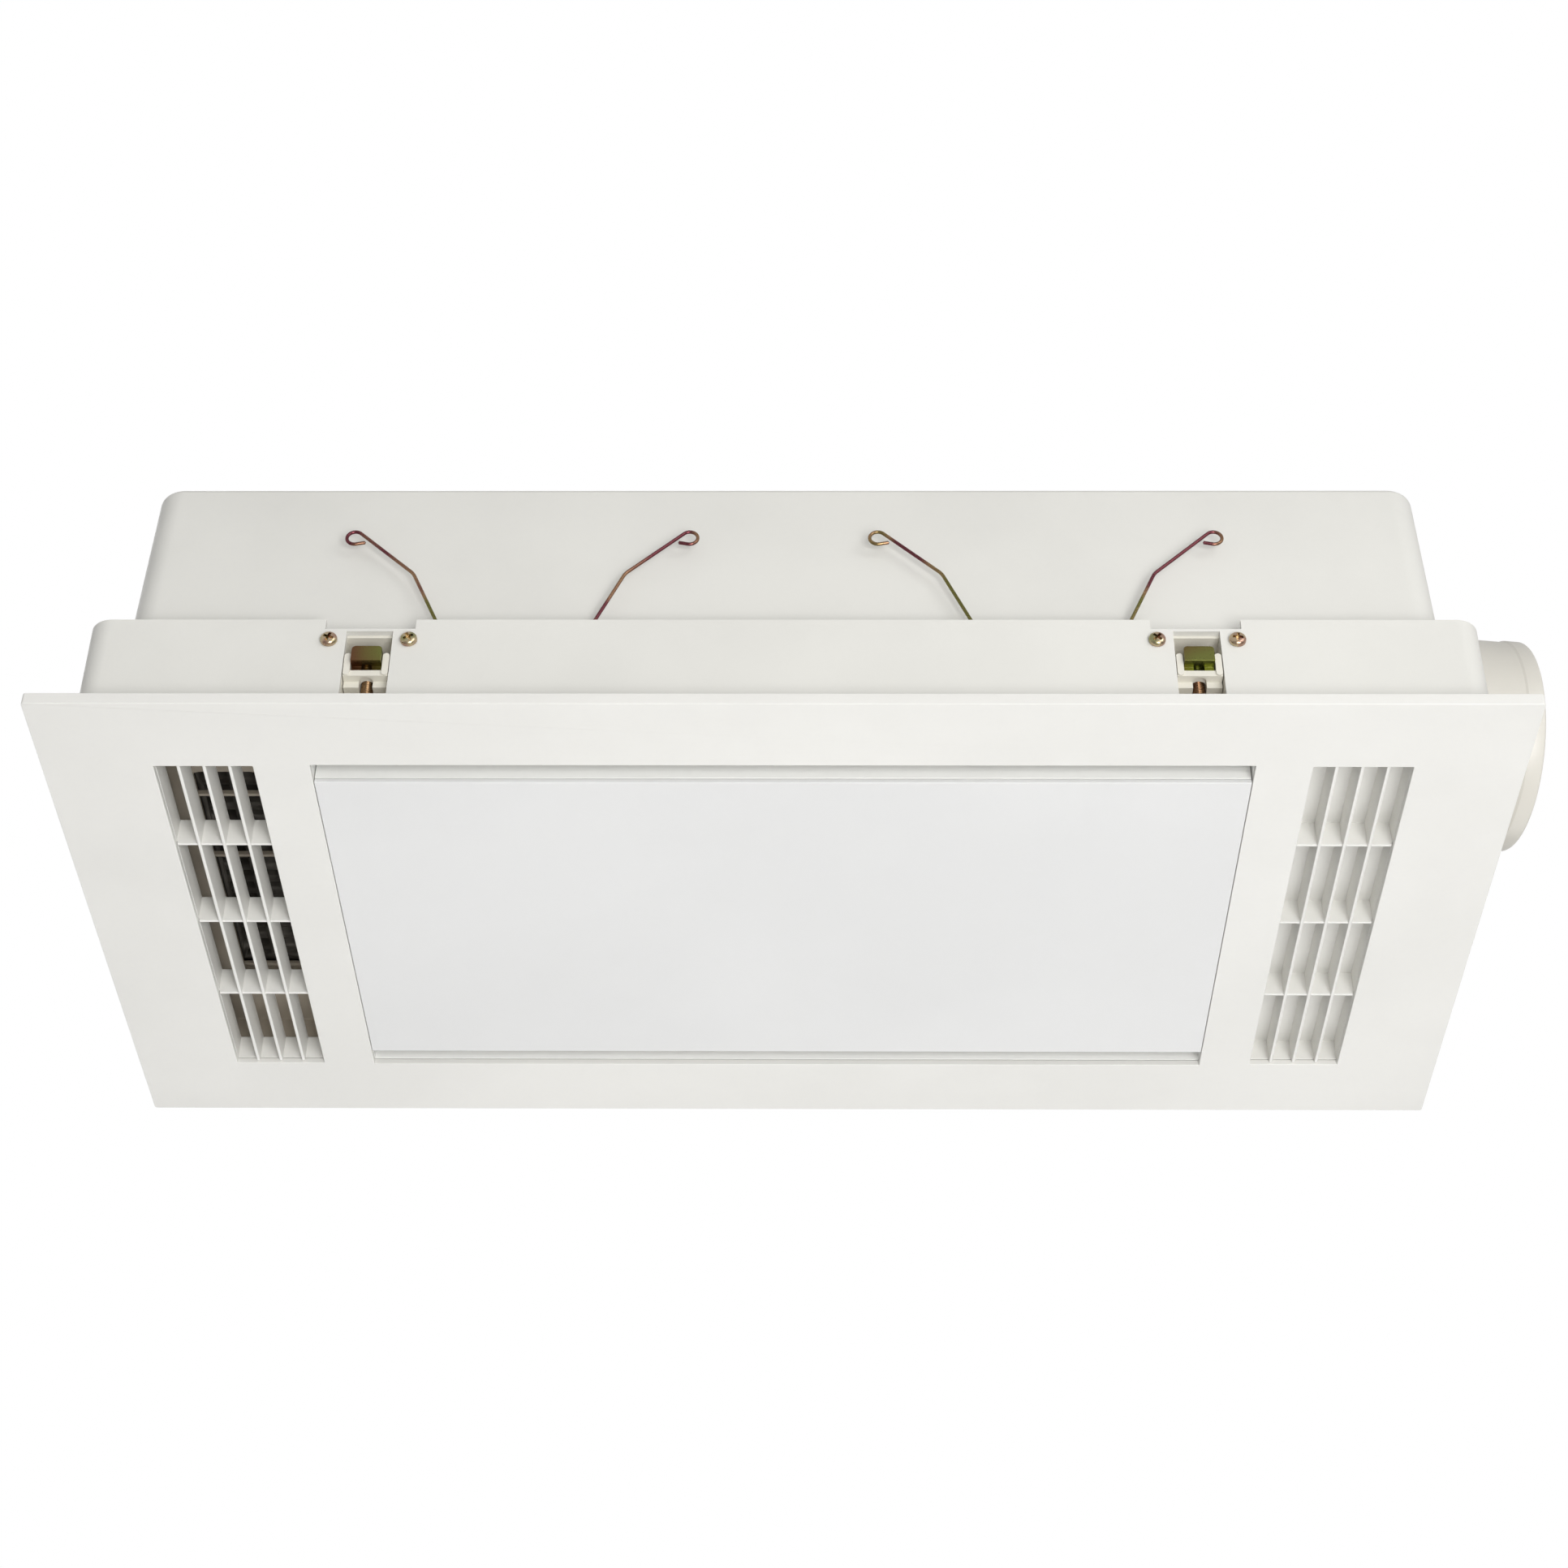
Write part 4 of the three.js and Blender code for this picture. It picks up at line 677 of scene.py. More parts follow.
def moulded_plastic(name, base, roughness, grain=0.9, grain_depth=0.02, tint=0.965, coat=0.0):
    """Moulded ABS or PP: a fine spark-eroded grain that softens its gloss, and slow changes of
    tone where the melt cooled at different rates. The grain is drawn coarser than the real
    0.2 mm, so that it shows."""
    material, tree, shader, place = new_finish(name)
    base = tuple(base)
    tone = mottled(tree, place, 90 * MM, darker(base, tint), base, 0.38, 0.62)
    flecks = mottled(tree, place, 2.4 * MM, darker(base, 0.97), base, 0.3, 0.5, 6.0)
    mixed = add_node(
        tree,
        "ShaderNodeMix",
        {"data_type": "RGBA", "blend_type": "MULTIPLY"},
        {"Factor": 0.25, 6: tone, 7: flecks},
    )
    tree.links.new(mixed.outputs[2], shader.inputs["Base Color"])
    sheen_patches = noise_value(tree, place, 14 * MM, 5.0)
    tree.links.new(
        spread(tree, sheen_patches, roughness - 0.05, roughness + 0.06), shader.inputs["Roughness"]
    )
    grains = noise_value(tree, place, grain * MM, 3.0)
    waves = noise_value(tree, place, 38 * MM, 1.0)
    slow = bumps(tree, waves, 0.12 * MM, 0.35)
    tree.links.new(bumps(tree, grains, grain_depth * MM, 0.8, slow), shader.inputs["Normal"])
    shader.inputs["IOR"].default_value = 1.53
    if coat:
        shader.inputs["Coat Weight"].default_value = coat
        shader.inputs["Coat Roughness"].default_value = 0.2
    return material


def opal_sheet(name, base):
    """Extruded opal polystyrene: light goes a little way in, and the surface is finely frosted."""
    material, tree, shader, place = new_finish(name)
    base = tuple(base)
    tone = mottled(tree, place, 140 * MM, darker(base, 0.975), base, 0.4, 0.6)
    tree.links.new(tone, shader.inputs["Base Color"])
    frost = noise_value(tree, place, 0.8 * MM, 3.0)
    tree.links.new(spread(tree, frost, 0.46, 0.58), shader.inputs["Roughness"])
    tree.links.new(bumps(tree, frost, 0.015 * MM, 0.6), shader.inputs["Normal"])
    shader.inputs["IOR"].default_value = 1.49
    shader.inputs["Subsurface Weight"].default_value = 0.12
    shader.inputs["Subsurface Radius"].default_value = (1.0, 1.0, 0.9)
    shader.inputs["Subsurface Scale"].default_value = 2 * MM
    return material


def yellow_zinc(name, film_colours, patch=24.0, roughness=0.24):
    """Yellow passivated zinc on steel: its film drifts from green over gold to red as it
    thickens, with fine scratches and duller hollows."""
    material, tree, shader, place = new_finish(name)
    film = noise_value(tree, place, patch * MM, 1.5)
    ramp = add_node(tree, "ShaderNodeValToRGB", None, {"Fac": film})
    ramp.color_ramp.elements[0].position = 0.38
    ramp.color_ramp.elements[0].color = tuple(film_colours[0])
    ramp.color_ramp.elements[1].position = 0.58
    ramp.color_ramp.elements[1].color = tuple(film_colours[-1])
    if len(film_colours) > 2:
        ramp.color_ramp.elements.new(0.46).color = tuple(film_colours[1])
    tree.links.new(ramp.outputs["Color"], shader.inputs["Base Color"])
    shader.inputs["Metallic"].default_value = 1.0
    grit = noise_value(tree, place, 0.7 * MM, 4.0)
    tree.links.new(spread(tree, grit, roughness - 0.06, roughness + 0.16), shader.inputs["Roughness"])
    tree.links.new(bumps(tree, grit, 0.02 * MM, 0.7), shader.inputs["Normal"])
    return material


def galvanised_sheet(name, base):
    """Hot-dip galvanised sheet: flat crystals of zinc, each with its own tone and gloss."""
    material, tree, shader, place = new_finish(name)
    base = tuple(base)
    crystals = add_node(
        tree, "ShaderNodeTexVoronoi", None, {"Vector": place, "Scale": 1 / (7 * MM), "Randomness": 1.0}
    )
    tone = add_node(tree, "ShaderNodeSeparateColor", None, {"Color": crystals.outputs["Color"]})
    ramp = add_node(tree, "ShaderNodeValToRGB", None, {"Fac": tone.outputs["Red"]})
    ramp.color_ramp.elements[0].color = darker(base, 0.72)
    ramp.color_ramp.elements[1].color = base
    tree.links.new(ramp.outputs["Color"], shader.inputs["Base Color"])
    shader.inputs["Metallic"].default_value = 1.0
    tree.links.new(spread(tree, tone.outputs["Green"], 0.32, 0.5, 0.0, 1.0), shader.inputs["Roughness"])
    grit = noise_value(tree, place, 1.2 * MM, 3.0)
    tree.links.new(bumps(tree, grit, 0.02 * MM, 0.5), shader.inputs["Normal"])
    return material


def rolled_metal(name, base, roughness, metallic=1.0):
    """Plain rolled or drawn metal: fine streaks along one way and a soft change of gloss."""
    material, tree, shader, place = new_finish(name)
    base = tuple(base)
    stretched = add_node(
        tree, "ShaderNodeMapping", None, {"Vector": place, "Scale": (1.0, 1.0, 14.0)}
    ).outputs["Vector"]
    streaks = noise_value(tree, stretched, 6 * MM, 4.0)
    ramp = add_node(tree, "ShaderNodeValToRGB", None, {"Fac": streaks})
    ramp.color_ramp.elements[0].position = 0.3
    ramp.color_ramp.elements[0].color = darker(base, 0.78)
    ramp.color_ramp.elements[1].position = 0.7
    ramp.color_ramp.elements[1].color = base
    tree.links.new(ramp.outputs["Color"], shader.inputs["Base Color"])
    shader.inputs["Metallic"].default_value = metallic
    tree.links.new(spread(tree, streaks, roughness - 0.07, roughness + 0.1), shader.inputs["Roughness"])
    tree.links.new(bumps(tree, streaks, 0.02 * MM, 0.5), shader.inputs["Normal"])
    return material


def coated_board(name, base, track_size=3.0):
    """A printed board under its solder mask: faint tracks and pads under a smooth skin."""
    material, tree, shader, place = new_finish(name)
    base = tuple(base)
    tracks = add_node(
        tree,
        "ShaderNodeTexBrick",
        None,
        {
            "Vector": place,
            "Color1": base,
            "Color2": darker(base, 0.9),
            "Mortar": darker(base, 0.7),
            "Scale": 1 / (track_size * 4 * MM),
        },
    )
    tree.links.new(tracks.outputs["Color"], shader.inputs["Base Color"])
    shader.inputs["Roughness"].default_value = 0.35
    tree.links.new(bumps(tree, tracks.outputs["Fac"], 0.03 * MM, 0.6), shader.inputs["Normal"])
    return material


def heater_fins(name, base):
    """Dark-fired ceramic heater with bonded aluminium fins: close fins and burnt patches."""
    material, tree, shader, place = new_finish(name)
    base = tuple(base)
    fins = add_node(
        tree,
        "ShaderNodeTexWave",
        {"wave_type": "BANDS", "bands_direction": "Y"},
        {"Vector": place, "Scale": 1 / (20 * 1.8 * MM), "Distortion": 0.0},
    )
    patches = mottled(tree, place, 16 * MM, darker(base, 0.55), base)
    tree.links.new(patches, shader.inputs["Base Color"])
    shader.inputs["Metallic"].default_value = 0.7
    shader.inputs["Roughness"].default_value = 0.5
    tree.links.new(bumps(tree, fins.outputs["Fac"], 0.4 * MM, 0.8), shader.inputs["Normal"])
    return material


FINISHES = {}


def finish(name):
    """A named finish, made once."""
    colours = bpy.context.scene.heater_colours
    # The wire colours carry painted shade, darkened to stand in for dark reflected surroundings; the clamp screw rod
    # takes the darkened gold as well.
    wire = (colours.shaded_wire_green, colours.shaded_wire_gold, colours.shaded_wire_red)
    screw = (colours.screw_green, colours.screw_gold, colours.screw_copper)
    rod = (colours.claw_brown, colours.shaded_wire_gold)
    claw = (colours.claw_brown, colours.claw_green)
    makers = {
        "ABS moulded panel white": lambda n: moulded_plastic(n, colours.panel, 0.42),
        # The collar and tray finish is a whiter copy of the panel's white ABS, painted light that brightens their
        # shaded recess.
        "ABS moulded inner white": lambda n: moulded_plastic(n, colours.inner, 0.42),
        "ABS moulded casing white": lambda n: moulded_plastic(n, colours.casing, 0.5, 1.2, 0.03, 0.955),
        "Nylon moulded clamp white": lambda n: moulded_plastic(n, colours.clamp, 0.45, 0.6, 0.02),
        "ABS moulded spigot cream": lambda n: moulded_plastic(n, colours.spigot, 0.4, 0.9, 0.02, 0.96, 0.1),
        "Polystyrene extruded opal": lambda n: opal_sheet(n, colours.diffuser),
        "Steel wire yellow zinc plated": lambda n: yellow_zinc(n, wire, 24.0, 0.2),
        "Steel screw yellow zinc plated": lambda n: yellow_zinc(n, screw, 7.0, 0.2),
        "Steel rod yellow zinc plated": lambda n: yellow_zinc(n, rod, 40.0, 0.24),
        "Zinc alloy cast and passivated": lambda n: yellow_zinc(n, claw, 40.0, 0.32),
        "Steel hot dip galvanised": lambda n: galvanised_sheet(n, colours.galvanised),
        "Polypropylene moulded grey": lambda n: moulded_plastic(n, colours.fan, 0.55),
        "Phenolic moulded nozzle": lambda n: moulded_plastic(n, colours.nozzle, 0.6, 1.0, 0.03, 0.85),
        "Ceramic heater with bonded fins": lambda n: heater_fins(n, colours.heater),
        "Steel deep drawn": lambda n: rolled_metal(n, colours.steel, 0.38),
        "Epoxy board green mask": lambda n: coated_board(n, colours.board_green),
        "Aluminium board white mask": lambda n: coated_board(n, colours.board_white, 6.0),
        "ABS moulded box white": lambda n: moulded_plastic(n, colours.board_white, 0.45),
        "Nylon moulded terminal grey": lambda n: moulded_plastic(n, colours.terminal, 0.5),
        "Nylon moulded gland black": lambda n: moulded_plastic(n, colours.gland, 0.5),
    }
    if name not in FINISHES:
        FINISHES[name] = makers[name](name)
    return FINISHES[name]


# The face panel, its grilles and its light


def grille_holes(sizes, low, high):
    """The two grille openings as boxes between two heights."""
    return [
        (span(sizes.grille_width, x), span(sizes.grille_length), (low, high))
        for x in (-sizes.grille_centre, sizes.grille_centre)
    ]


class HEATER_OT_face_panel(bpy.types.Operator):
    """Make the face panel with its rim, light collar and spring lugs"""

    bl_idname = "heater.face_panel"
    bl_label = "Face Panel"

    def execute(self, context):
        sizes = context.scene.heater_panel
        spring = context.scene.heater_spring
        low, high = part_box("face_panel")
        over = sizes.rim_height
        within = (
            (low.x + sizes.rim_wall, high.x - sizes.rim_wall),
            (low.y + sizes.rim_wall, high.y - sizes.rim_wall),
        )
        tray_space = (*within, (low.z + sizes.skin, high.z + over))
        light_hole = (span(sizes.light_length), span(sizes.light_width), (low.z - over, high.z + over))
        bm = bmesh.new()
        outline = rounded_rectangle(high.x, high.y, sizes.corner, 6)
        add_prism(bm, outline, low.z, low.z + sizes.rim_height)
        block = finish_mesh("face_panel_block", bm)
        openings = (light_hole, *grille_holes(sizes, low.z - over, high.z))
        cutters = [box_cutter("tray_space", tray_space), box_cutter("openings", *openings)]
        bm = bmesh.new()
        bm.from_mesh(cut_away(block, cutters))
        slot = spring.wire + 2 * sizes.gap
        cheek_top = spring.base_height + spring.wire / 2 + sizes.lug_rise
        saddle_top = spring.base_height - spring.wire / 2 - sizes.gap
        for _, side_x, side_y in CORNERS:
            x = side_x * spring.spacing / 2
            y = side_y * spring.plane
            lug = (
                span(sizes.lug_length, x),
                span(slot + 2 * sizes.lug_wall, y),
                (low.z + sizes.skin / 2, cheek_top),
            )
            room = (span(2 * sizes.lug_length, x), span(slot, y), (saddle_top, high.z))
            add_boxes(bm, [lug], [room])
        mesh = finish_mesh("face_panel_moulding", bm)
        place_piece(
            "face_panel_moulding",
            mesh,
            finish("ABS moulded panel white"),
            "faceplate",
            ["face_panel"],
            sizes.edge,
        )
        collar_low, collar_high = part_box("light_collar")
        outside = tuple((collar_low[a], collar_high[a]) for a in range(3))
        bm = bmesh.new()
        inside = (span(sizes.light_length), span(sizes.light_width), (low.z, collar_high.z + over))
        add_boxes(bm, [outside], [inside])
        place_piece(
            "light_collar_moulding",
            finish_mesh("light_collar_moulding", bm),
            finish("ABS moulded inner white"),
            "faceplate",
            ["light_collar"],
            0.3 * MM,
        )
        return {"FINISHED"}


class HEATER_OT_air_grilles(bpy.types.Operator):
    """Make the warm-air grille and the intake grille"""

    bl_idname = "heater.air_grilles"
    bl_label = "Air Grilles"

    def execute(self, context):
        sizes = context.scene.heater_panel
        for node, side in (("outlet_grille", -1), ("intake_grille", 1)):
            mesh = self.grille_mesh(sizes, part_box(node)[1].z, side > 0)
            mesh.transform(Matrix.Translation((side * sizes.grille_centre, 0, 0)))
            place_piece(
                node + "_moulding",
                mesh,
                finish("ABS moulded panel white"),
                "faceplate",
                [node],
                0.35 * MM,
            )
        return {"FINISHED"}

    def grille_mesh(self, sizes, top, has_baffle):
        """One grille about its own middle: a frame on the panel's back, slats and cross bars."""
        seat = sizes.skin + sizes.gap
        wide, long = sizes.grille_width, sizes.grille_length
        frame_box = (
            span(wide + 2 * sizes.grille_wall),
            span(long + 2 * sizes.grille_wall),
            (seat, top),
        )
        bm = bmesh.new()
        add_boxes(bm, [frame_box], [(span(wide), span(long), (0.0, 2 * top))])
        slat_pitch = (wide + sizes.slat) / 4
        bar_pitch = (long + sizes.bar) / 4
        boxes = []
        for i in (1, 2, 3):
            x = i * slat_pitch - (wide + sizes.slat) / 2
            y = i * bar_pitch - (long + sizes.bar) / 2
            boxes.append((span(sizes.slat, x), span(long - 2 * sizes.gap), (sizes.slat_recess, top)))
            boxes.append((span(sizes.slat, x), span(long + sizes.grille_wall), (seat, top)))
            boxes.append((span(wide - 2 * sizes.gap), span(sizes.bar, y), (sizes.bar_recess, top)))
            boxes.append((span(wide + sizes.grille_wall), span(sizes.bar, y), (seat, top)))
        add_boxes(bm, boxes)
        if has_baffle:
            slots = []
            for i in range(4):
                front = i * bar_pitch - long / 2
                slots.append((span(wide), (front, front + sizes.baffle_slot), (0.0, 2 * top)))
            plate = (
                span(wide + sizes.grille_wall),
                span(long + sizes.grille_wall),
                (top - sizes.baffle, top),
            )
            add_boxes(bm, [plate], slots)
        return finish_mesh("grille", bm)


class HEATER_OT_light(bpy.types.Operator):
    """Make the opal diffuser and its tray"""

    bl_idname = "heater.light"
    bl_label = "Light"

    def execute(self, context):
        sizes = context.scene.heater_panel
        low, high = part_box("light_diffuser")
        bm = bmesh.new()
        add_boxes(bm, [tuple((low[a], high[a]) for a in range(3))])
        place_piece(
            "light_diffuser_sheet",
            finish_mesh("light_diffuser_sheet", bm),
            finish("Polystyrene extruded opal"),
            "faceplate",
            ["light_diffuser"],
            0.3 * MM,
        )
        tray_low, tray_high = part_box("light_tray")
        wall = sizes.tray_wall
        body = ((low.x, high.x), (low.y, high.y), (tray_low.z, tray_high.z))
        hollow = (
            (low.x + wall, high.x - wall),
            (low.y + wall, high.y - wall),
            (tray_low.z - wall, tray_high.z - wall),
        )
        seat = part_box("light_collar")[1].z + sizes.gap
        tab = (
            (tray_low.x, tray_high.x),
            span(sizes.tray_tab_length),
            (seat, seat + wall),
        )
        bm = bmesh.new()
        add_boxes(bm, [body, tab], [hollow])
        place_piece(
            "light_tray_moulding",
            finish_mesh("light_tray_moulding", bm),
            finish("ABS moulded inner white"),
            "faceplate",
            ["light_tray"],
            0.3 * MM,
        )
        dress_node("led_board", finish("Aluminium board white mask"))
        dress_node("led_driver", finish("ABS moulded box white"), 0.5 * MM)
        return {"FINISHED"}


# The casing


def spigot_place(sizes):
    """The spigot's end as a place whose Z axis runs out along the spigot."""
    turn = Matrix.Rotation(sizes.yaw, 4, "Z") @ Matrix.Rotation(math.pi / 2, 4, "Y")
    return Matrix.Translation((sizes.end_x, sizes.end_y, sizes.end_z)) @ turn


def spigot_cutter(sizes, radius):
    """A bar along the spigot's axis, to open the walls that it passes through."""
    bm = bmesh.new()
    reach = sizes.barrel
    profile = [(0, -reach), (radius, -reach), (radius, sizes.lip), (0, sizes.lip)]
    add_lathe(bm, profile, 96, spigot_place(sizes))
    return finish_mesh("spigot_cutter", bm)


def box_cutter(name, *boxes):
    """Boxes as one cutting mesh."""
    bm = bmesh.new()
    for box in boxes:
        add_boxes(bm, [box])
    return finish_mesh(name, bm)


def clamp_centres():
    """Corner name, x, y sign and the middle height of each clamp screw."""
    for name, side_x, side_y in CORNERS:
        low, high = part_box("clamp_screw_" + name)
        yield name, (low.x + high.x) / 2, side_y, (low.y + high.y) / 2


class HEATER_OT_mounting_frame(bpy.types.Operator):
    """Make the mounting frame with its windows, notches and shelf"""

    bl_idname = "heater.mounting_frame"
    bl_label = "Mounting Frame"

    def execute(self, context):
        casing = context.scene.heater_casing
        clamp = context.scene.heater_clamp
        spring = context.scene.heater_spring
        spigot = context.scene.heater_spigot
        low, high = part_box("mounting_frame")
        window_bottom = casing.shelf_top + context.scene.heater_panel.gap + clamp.foot
        centres = [x for _, x, _, _ in clamp_centres()]
        half_window, half_notch = clamp.window / 2, casing.notch_width / 2
        breaks = sorted({x + s * h for x in centres for s in (-1, 1) for h in (half_window, half_notch)})
        near = [
            rounded_rectangle(high.x - inset, high.y - inset, casing.frame_corner - inset, 14, breaks)
            for inset in (0, casing.frame_wall)
        ]
        levels = (low.z, window_bottom, clamp.window_top, casing.notch_bottom, high.z)

        def is_open(middle, height):
            reach = min(abs(middle.x - x) for x in centres)
            in_window = reach < half_window and window_bottom < height < clamp.window_top
            return in_window or (reach < half_notch and height > casing.notch_bottom)

        bm = bmesh.new()
        add_walled_ring(bm, [(z, *near) for z in levels], is_open)
        wall_mesh = finish_mesh("frame_wall", bm)
        bm = bmesh.new()
        outer_inset = casing.frame_wall - context.scene.heater_panel.gap
        inner_inset = casing.frame_wall + casing.shelf_reach
        shelf_rings = [
            rounded_rectangle(high.x - outer_inset, high.y - outer_inset, casing.frame_corner, 10),
            rounded_rectangle(high.x - inner_inset, high.y - inner_inset, 2 * MM, 10),
        ]
        add_walled_ring(bm, [(z, *shelf_rings) for z in (casing.shelf_bottom, casing.shelf_top)])
        shelf_mesh = finish_mesh("frame_shelf", bm)
        heights = (casing.shelf_bottom - 5 * MM, casing.shelf_top + 5 * MM)
        slots = [
            (
                span(2 * casing.slot_half, sx * spring.spacing / 2),
                span(casing.slot_width, sy * spring.plane),
                heights,
            )
            for _, sx, sy in CORNERS
        ]
        holes = bmesh.new()
        for _, x, _, screw_y in clamp_centres():
            radius = clamp.screw_radius + context.scene.heater_panel.gap
            profile = [(0, heights[0]), (radius, heights[0]), (radius, heights[1]), (0, heights[1])]
            add_lathe(holes, profile, 40, Matrix.Translation((x, screw_y, 0)))
        shelf_mesh = cut_away(
            shelf_mesh, [box_cutter("slots", *slots), finish_mesh("screw_holes", holes)]
        )
        wall_mesh = cut_away(wall_mesh, [spigot_cutter(spigot, spigot.radius + 1.5 * spigot.step)])
        bm = bmesh.new()
        bm.from_mesh(wall_mesh)
        bm.from_mesh(shelf_mesh)
        place_piece(
            "mounting_frame_moulding",
            finish_mesh("mounting_frame_moulding", bm),
            finish("ABS moulded casing white"),
            "housing",
            ["mounting_frame"],
            0.45 * MM,
        )
        return {"FINISHED"}


class HEATER_OT_upper_housing(bpy.types.Operator):
    """Make the drafted upper housing with its rounded roof edge"""

    bl_idname = "heater.upper_housing"
    bl_label = "Upper Housing"

    def execute(self, context):
        casing = context.scene.heater_casing
        low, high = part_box("upper_housing")
        wall, edge = casing.housing_wall, casing.housing_edge
        centres = [x for _, x, _, _ in clamp_centres()]
        breaks = sorted(x + s * casing.pocket_half for x in centres for s in (-1, 1))

        def outline(inset, height):
            lean = casing.housing_lean * (height - low.z) / (high.z - low.z) + inset
            corner = casing.housing_corner - inset
            return rounded_rectangle(high.x - lean, high.y - lean, corner, 16, breaks)

        levels = [low.z, casing.pocket_top]
        levels += [casing.pocket_top + share * (high.z - edge - casing.pocket_top) for share in (0.33, 0.66, 1)]
        rings = [(z, outline(0, z), outline(wall, z)) for z in levels]
        bm = bmesh.new()

        def is_open(middle, height):
            reach = min(abs(middle.x - x) for x in centres)
            on_long_side = abs(middle.y) > high.y - 3 * wall
            return on_long_side and reach < casing.pocket_half and height < casing.pocket_top

        add_walled_ring(bm, rings, is_open)
        shell_top = [v for v in bm.verts if abs(v.co.z - levels[-1]) < 0.001 * MM]
        bmesh.ops.delete(
            bm,
            geom=[f for f in bm.faces if all(v in shell_top for v in f.verts)],
            context="FACES_ONLY",
        )
        self.add_roof(bm, outline, levels[-1], high.z, edge, wall)
        shell = finish_mesh("upper_housing_moulding", bm)
        shell = self.open_walls(shell, context, high)
        bm = bmesh.new()
        bm.from_mesh(shell)
        for _, x, side_y, _ in clamp_centres():
            floor = high.y - casing.pocket_depth
            outer = (
                span(2 * (casing.pocket_half + wall), x),
                ordered(side_y * (floor - wall), side_y * (high.y - wall)),
                (low.z, casing.pocket_top + wall),
            )
            inner = (
                span(2 * casing.pocket_half, x),
                ordered(side_y * floor, side_y * 2 * high.y),
                (low.z - wall, casing.pocket_top),
            )
            add_boxes(bm, [outer], [inner])
        place_piece(
            "upper_housing_moulding",
            finish_mesh("upper_housing_moulding", bm),
            finish("ABS moulded casing white"),
            "housing",
            ["upper_housing"],
        )
        return {"FINISHED"}

    def add_roof(self, bm, outline, start, top, edge, wall):
        """Closes the shell with a rounded edge and a flat roof, outside and inside."""
        for inset, base, reach in ((0.0, start, edge), (wall, start, edge - wall)):
            last = outline(inset, base)
            steps = 6
            for step in range(1, steps + 1):
                angle = step / steps * math.pi / 2
                rise = reach * math.sin(angle)
                drawn_in = inset + reach * (1 - math.cos(angle))
                ring = outline(drawn_in, base + rise)
                self.join_rings(bm, last, base + reach * math.sin((step - 1) / steps * math.pi / 2), ring, base + rise)
                last = ring
            cap = [bm.verts.new((*point, base + reach)) for point in last]
            bm.faces.new(cap)

    def join_rings(self, bm, first, first_height, second, second_height):
        """Adds the faces between two outlines at two heights."""
        below = [bm.verts.new((*point, first_height)) for point in first]
        above = [bm.verts.new((*point, second_height)) for point in second]
        for i in range(len(below)):
            j = (i + 1) % len(below)
            bm.faces.new((below[i], below[j], above[j], above[i]))

    def open_walls(self, mesh, context, high):
        """Opens the right wall for the spigot and the rear wall for the cable gland."""
        spigot = context.scene.heater_spigot
        gap = context.scene.heater_panel.gap
        low_gland, high_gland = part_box("cable_gland")
        centre = (low_gland + high_gland) / 2
        bm = bmesh.new()
        radius = 10 * MM + gap
        reach = 30 * MM
        turn = Matrix.Translation((centre.x, high.y, centre.z)) @ Matrix.Rotation(math.pi / 2, 4, "X")
        add_lathe(bm, [(0, -reach), (radius, -reach), (radius, reach), (0, reach)], 48, turn)
        gland_cutter = finish_mesh("gland_cutter", bm)
        cutter = spigot_cutter(spigot, spigot.radius - spigot.step + gap)
        return cut_away(mesh, [cutter, gland_cutter])


# The clamps


def clamp_place(context, name, side_x, side_y):
    """Where a clamp stands: its X axis runs along the wall and its Y axis inwards."""
    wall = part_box("mounting_frame")[1].y - context.scene.heater_casing.frame_wall
    low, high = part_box("clamp_screw_" + name)
    turn = Matrix.Rotation(math.pi if side_y > 0 else 0.0, 4, "Z")
    return Matrix.Translation(((low.x + high.x) / 2, side_y * wall, 0)) @ turn


